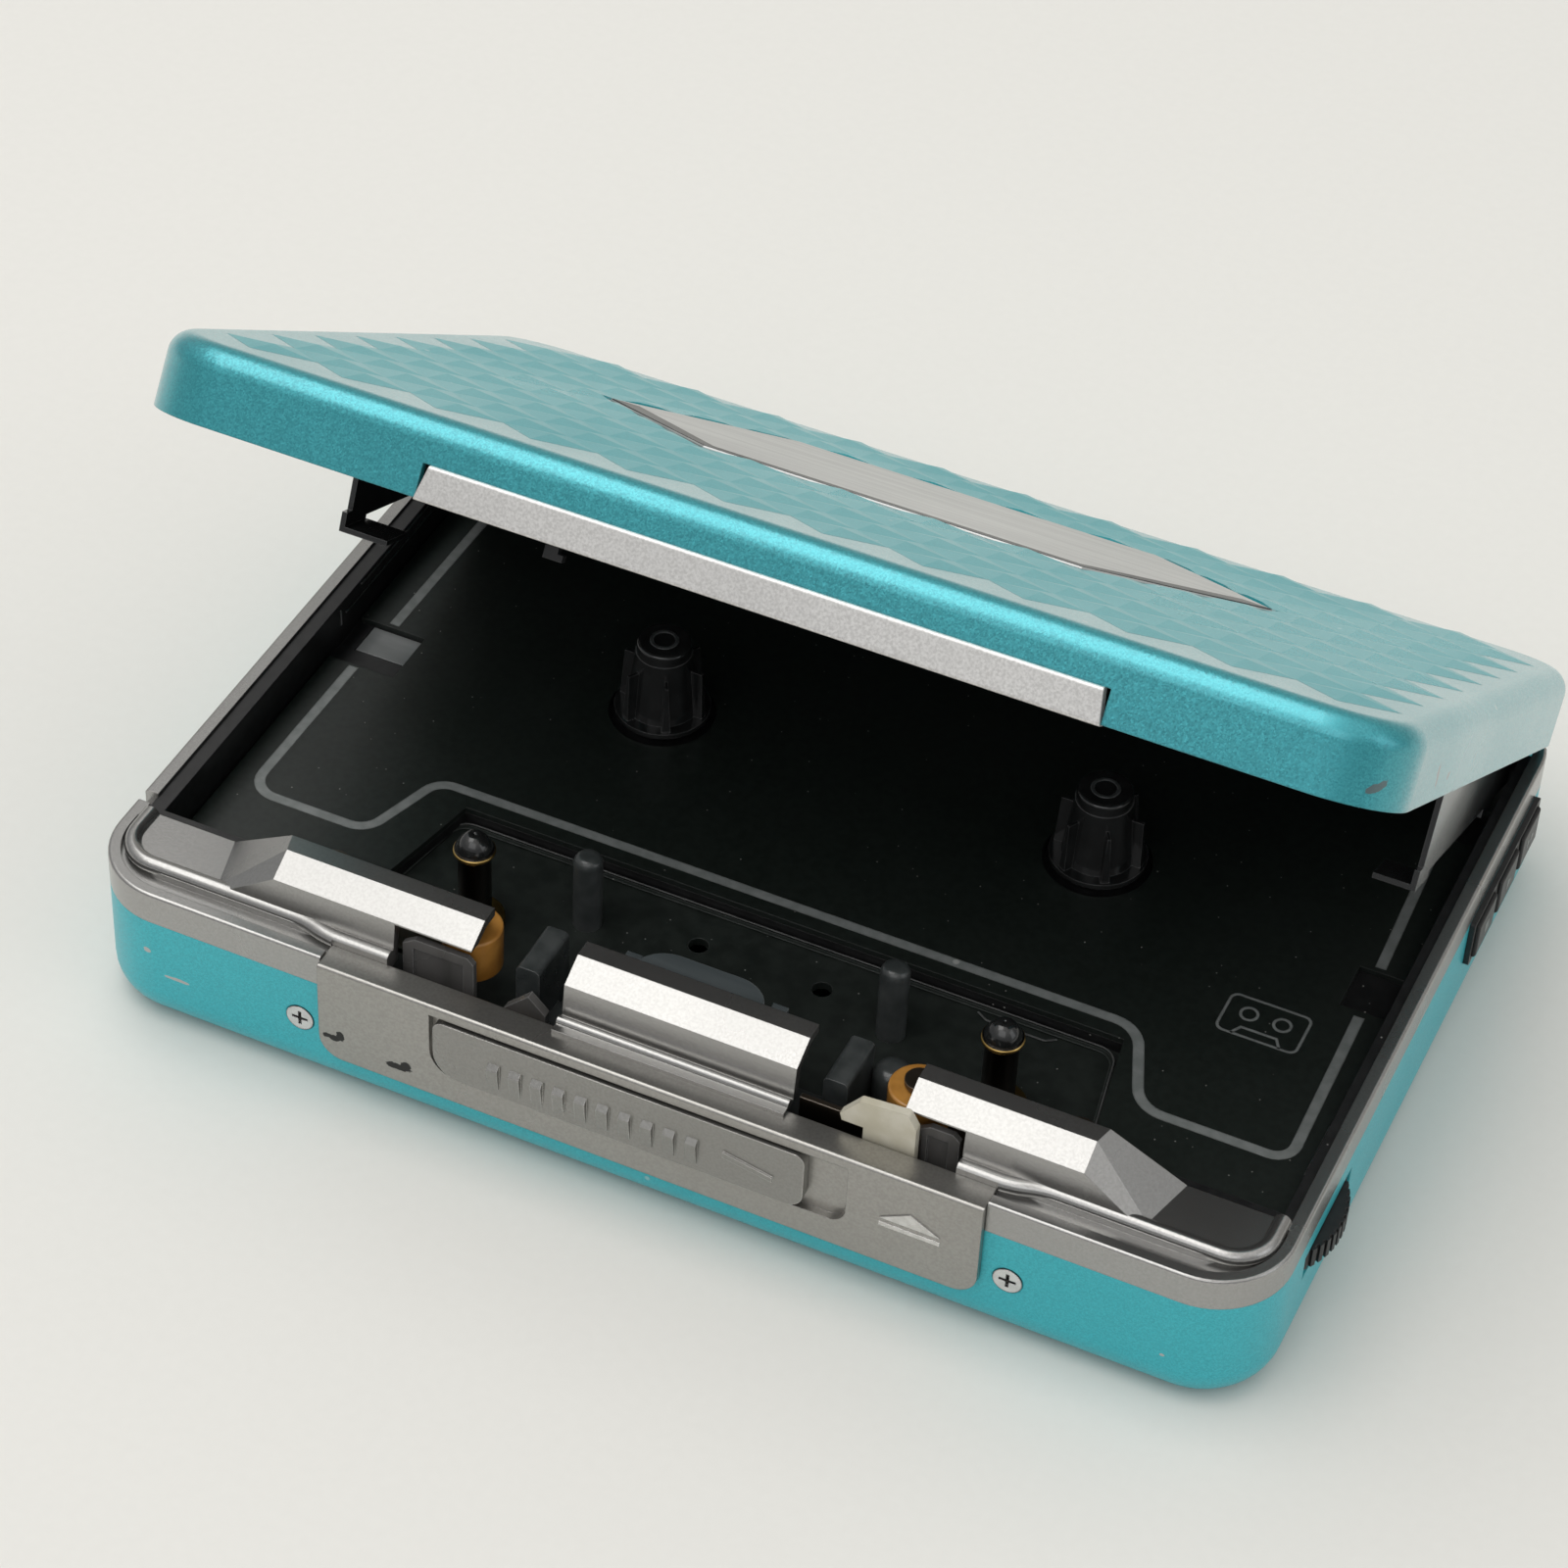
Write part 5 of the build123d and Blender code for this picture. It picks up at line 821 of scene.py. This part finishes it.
# Side keys
# A black moulded block with three black keys beside the silver rim, each with its sign printed in
# grey, and the small hold switch at the back.
for node in ("key_plate", "key_stop", "key_play", "key_wind", "hold_switch"):
    dress(node, black_plastic)
key_face, key_z = 54.85, 9.5
key_signs = {"stop": [[(-0.6, -0.6), (0.6, -0.6), (0.6, 0.6), (-0.6, 0.6)]],
             "play": [[(-0.55, -0.7), (0.75, 0.0), (-0.55, 0.7)]],
             "wind": [[(-1.0, -0.65), (0.0, 0.0), (-1.0, 0.65)],
                      [(0.0, -0.65), (1.0, 0.0), (0.0, 0.65)]]}
for which, y in (("stop", 15.9), ("play", 22.1), ("wind", 28.3)):
    raised_outlines("sign_" + which, key_signs[which], -0.03, 0.02,
                    lambda a, b, h, y=y: (key_face + h, y + a, key_z + b), print_ink,
                    which + "_key")

# Lid
# A lid drawn from aluminium sheet, stamped with shallow diamonds and painted in turquoise. A
# brushed plate is let into its middle, a speckled bar into its front, and black parts line it.
lid_chips = [((0.0535, -0.0123, 0.0497), (0.002, 0.0007, 0.0012)),
             ((0.0535, -0.0085, 0.0466), (0.002, 0.0006, 0.0004)),
             ((0.0518, -0.0236, 0.0570), (0.0011, 0.0010, 0.0004))]
# The lid's paint is a darker copy of the case's turquoise: painted shade on the tilted lid.
lid_paint_shaded = flake_paint("turquoise_paint_shaded_for_lid", (0.024, 0.290, 0.340), (0.052, 0.41, 0.465),
                        metallic=0.58, roughness=0.29, flake_scale=7500.0, tilt=0.11, wear=0.22,
                        coat=0.9, chips=lid_chips, bare=(0.10, 0.16, 0.17))
plate_metal = surface("brushed_plate_metal", (0.52, 0.525, 0.52), (0.62, 0.63, 0.62), metallic=0.75,
                      rough=0.38, grain=900.0, stretch=(0.05, 1, 1), bump=0.05, wear=0.3,
                      bare=(0.25, 0.25, 0.25))
grip_paint = surface("speckled_silver_paint", (0.58, 0.57, 0.555), (0.76, 0.75, 0.735),
                     metallic=0.55, rough=0.34, grain=4200.0, bump=0.05, wear=0.3,
                     bare=(0.2, 0.2, 0.2))
dress("lid_shell", lid_paint_shaded)
dress("lid_plate", plate_metal)
dress("grip_bar", grip_paint)
dress("lid_liner", black_plastic)
dress("lid_catches", black_plastic)

hinge_line = Vector((0, 34.8 * MM, 15.8 * MM))
lid_angle = -34.0
lid_open = (Matrix.Translation(hinge_line) @ Matrix.Rotation(math.radians(lid_angle), 4, "X")
            @ Matrix.Translation(-hinge_line))
lid_top = 22.1

# The quilting's paint is another darker copy of the case's turquoise: painted shade on the lid's
# top.
quilt_paint_shaded = flake_paint("turquoise_paint_shaded_for_quilt", (0.030, 0.34, 0.385), (0.052, 0.42, 0.465),
                          metallic=0.40, roughness=0.30, flake_scale=9000.0, tilt=0.02, wear=0.15,
                          radius=0.00006, coat=0.10)
diamond_pitch, diamond_rise = 8.5, 0.34
facets, ins, outs = repeat_tree("raised_diamonds", [("Pitch", diamond_pitch * MM),
                                                    ("Rise", diamond_rise * MM)])
half_pitch = facets.nodes.new("ShaderNodeMath")
half_pitch.operation = "MULTIPLY"
half_pitch.inputs[1].default_value = 0.5
facets.links.new(ins.outputs["Pitch"], half_pitch.inputs[0])
diamond = facets.nodes.new("GeometryNodeMeshCone")
diamond.fill_type = "NONE"
diamond.inputs["Vertices"].default_value = 4
diamond.inputs["Radius Top"].default_value = 0.0
facets.links.new(half_pitch.outputs[0], diamond.inputs["Radius Bottom"])
facets.links.new(ins.outputs["Rise"], diamond.inputs["Depth"])
spread = facets.nodes.new("GeometryNodeInstanceOnPoints")
facets.links.new(ins.outputs["Geometry"], spread.inputs["Points"])
facets.links.new(diamond.outputs["Mesh"], spread.inputs["Instance"])
real = facets.nodes.new("GeometryNodeRealizeInstances")
facets.links.new(spread.outputs[0], real.inputs[0])
welded = facets.nodes.new("GeometryNodeMergeByDistance")
welded.inputs["Distance"].default_value = 0.01 * MM
facets.links.new(real.outputs[0], welded.inputs["Geometry"])
coloured = facets.nodes.new("GeometryNodeSetMaterial")
coloured.inputs["Material"].default_value = quilt_paint_shaded
facets.links.new(welded.outputs[0], coloured.inputs["Geometry"])
facets.links.new(coloured.outputs[0], outs.inputs[0])
quilt_left, quilt_right, quilt_front, quilt_back = -51.1, 51.1, -34.1, 38.3
quilt_lift, skirt_depth = 0.012, 0.02
half_diamond = diamond_pitch / 2
centres = [((column + 0.5 * (row % 2)) * diamond_pitch, row * diamond_pitch / 2)
           for row in range(-8, 10) for column in range(-7, 7)]
centres = [(x * MM, y * MM, 0) for x, y in centres
           if quilt_left <= x - half_diamond and x + half_diamond <= quilt_right
           and quilt_front <= y - half_diamond and y + half_diamond <= quilt_back]
diamond_sizes = {"Pitch": diamond_pitch * MM, "Rise": diamond_rise * MM}
quilt = repeat_mesh("lid_quilting", facets, centres, diamond_sizes, quilt_paint_shaded)
quilt.transform(Matrix.Translation((0, 0, (lid_top + quilt_lift) * MM)))
shape = bmesh.new()
shape.from_mesh(quilt)
plate_edge = [(-32.5, 8.8), (-17.95, -4.7), (17.95, -4.7), (32.5, 8.8), (17.75, 21.95),
              (-17.75, 21.95)]
edges = []
for index, (x, y) in enumerate(plate_edge):
    far_x, far_y = plate_edge[(index + 1) % len(plate_edge)]
    edges.append((Vector((x, y, 0)), Vector((far_y - y, x - far_x, 0)).normalized()))
    bmesh.ops.bisect_plane(shape, geom=shape.verts[:] + shape.edges[:] + shape.faces[:], dist=1e-7,
                           plane_co=edges[-1][0] * MM, plane_no=edges[-1][1])
inside = [face for face in shape.faces
          if all((face.calc_center_median() / MM - point).dot(normal) < 0
                 for point, normal in edges)]
bmesh.ops.delete(shape, geom=inside, context="FACES")
bmesh.ops.dissolve_limit(shape, angle_limit=0.002, verts=shape.verts, edges=shape.edges)
rim = [edge for edge in shape.edges if edge.is_boundary]
skirt_side = bmesh.ops.extrude_edge_only(shape, edges=rim)["geom"]
for vert in skirt_side:
    if isinstance(vert, bmesh.types.BMVert):
        vert.co.z = (lid_top - skirt_depth) * MM
for face in shape.faces:
    face.smooth = False
bmesh.ops.recalc_face_normals(shape, faces=shape.faces)
if sum(face.normal.z * face.calc_area() for face in shape.faces) < 0:
    bmesh.ops.reverse_faces(shape, faces=shape.faces)
shape.to_mesh(quilt)
shape.free()
quilt.transform(lid_open)
keep_mesh("lid_quilting", quilt, "lid")

# Bevel of the plate
# The lower edges of the silver plate are ground to a dark polished bevel, with a black joint line
# where the plate is let into the lid.
dark_bevel = surface("dark_polished_bevel", (0.030, 0.032, 0.032), (0.055, 0.057, 0.057),
                     metallic=0.3, rough=0.34, grain=600.0, stretch=(0.1, 1, 1), bump=0.04,
                     wear=0.3, bare=(0.5, 0.5, 0.5))
plate_corners = [(-31.3, 8.75), (-17.45, -3.8), (17.45, -3.8), (31.3, 8.75)]
inner_corners = [(-28.6, 8.75), (-16.95, -2.75), (16.95, -2.75), (28.6, 8.75)]
outer_rise, inner_rise, bevel_depth = 0.18, 0.225, 0.05
bevel_points = [(x, y, lid_top + outer_rise) for x, y in plate_corners]
bevel_points += [(x, y, lid_top + inner_rise) for x, y in inner_corners]
bevel_points += [(x, y, lid_top - bevel_depth) for x, y, z in bevel_points[:8]]
bevel_faces = []
for k in range(3):
    bevel_faces += [(k, k + 1, k + 5, k + 4), (k + 8, k + 12, k + 13, k + 9),
                    (k, k + 8, k + 9, k + 1), (k + 4, k + 5, k + 13, k + 12)]
bevel_faces += [(0, 4, 12, 8), (3, 11, 15, 7)]
bevel = plain_mesh("lid_plate_bevel", bevel_points, bevel_faces, [dark_bevel], "lid")
face_outwards(bevel)
bevel.data.transform(lid_open)

# Cassette holder
# A tray folded from sheet and painted gloss black, hung on the two hinge pins beside the lid. Two
# bright leaf springs in it press on the cassette.
dress("cassette_holder", gloss_black)
dress("holder_springs", steel_and_wall_highlight)
dress("hinge_pins", steel)
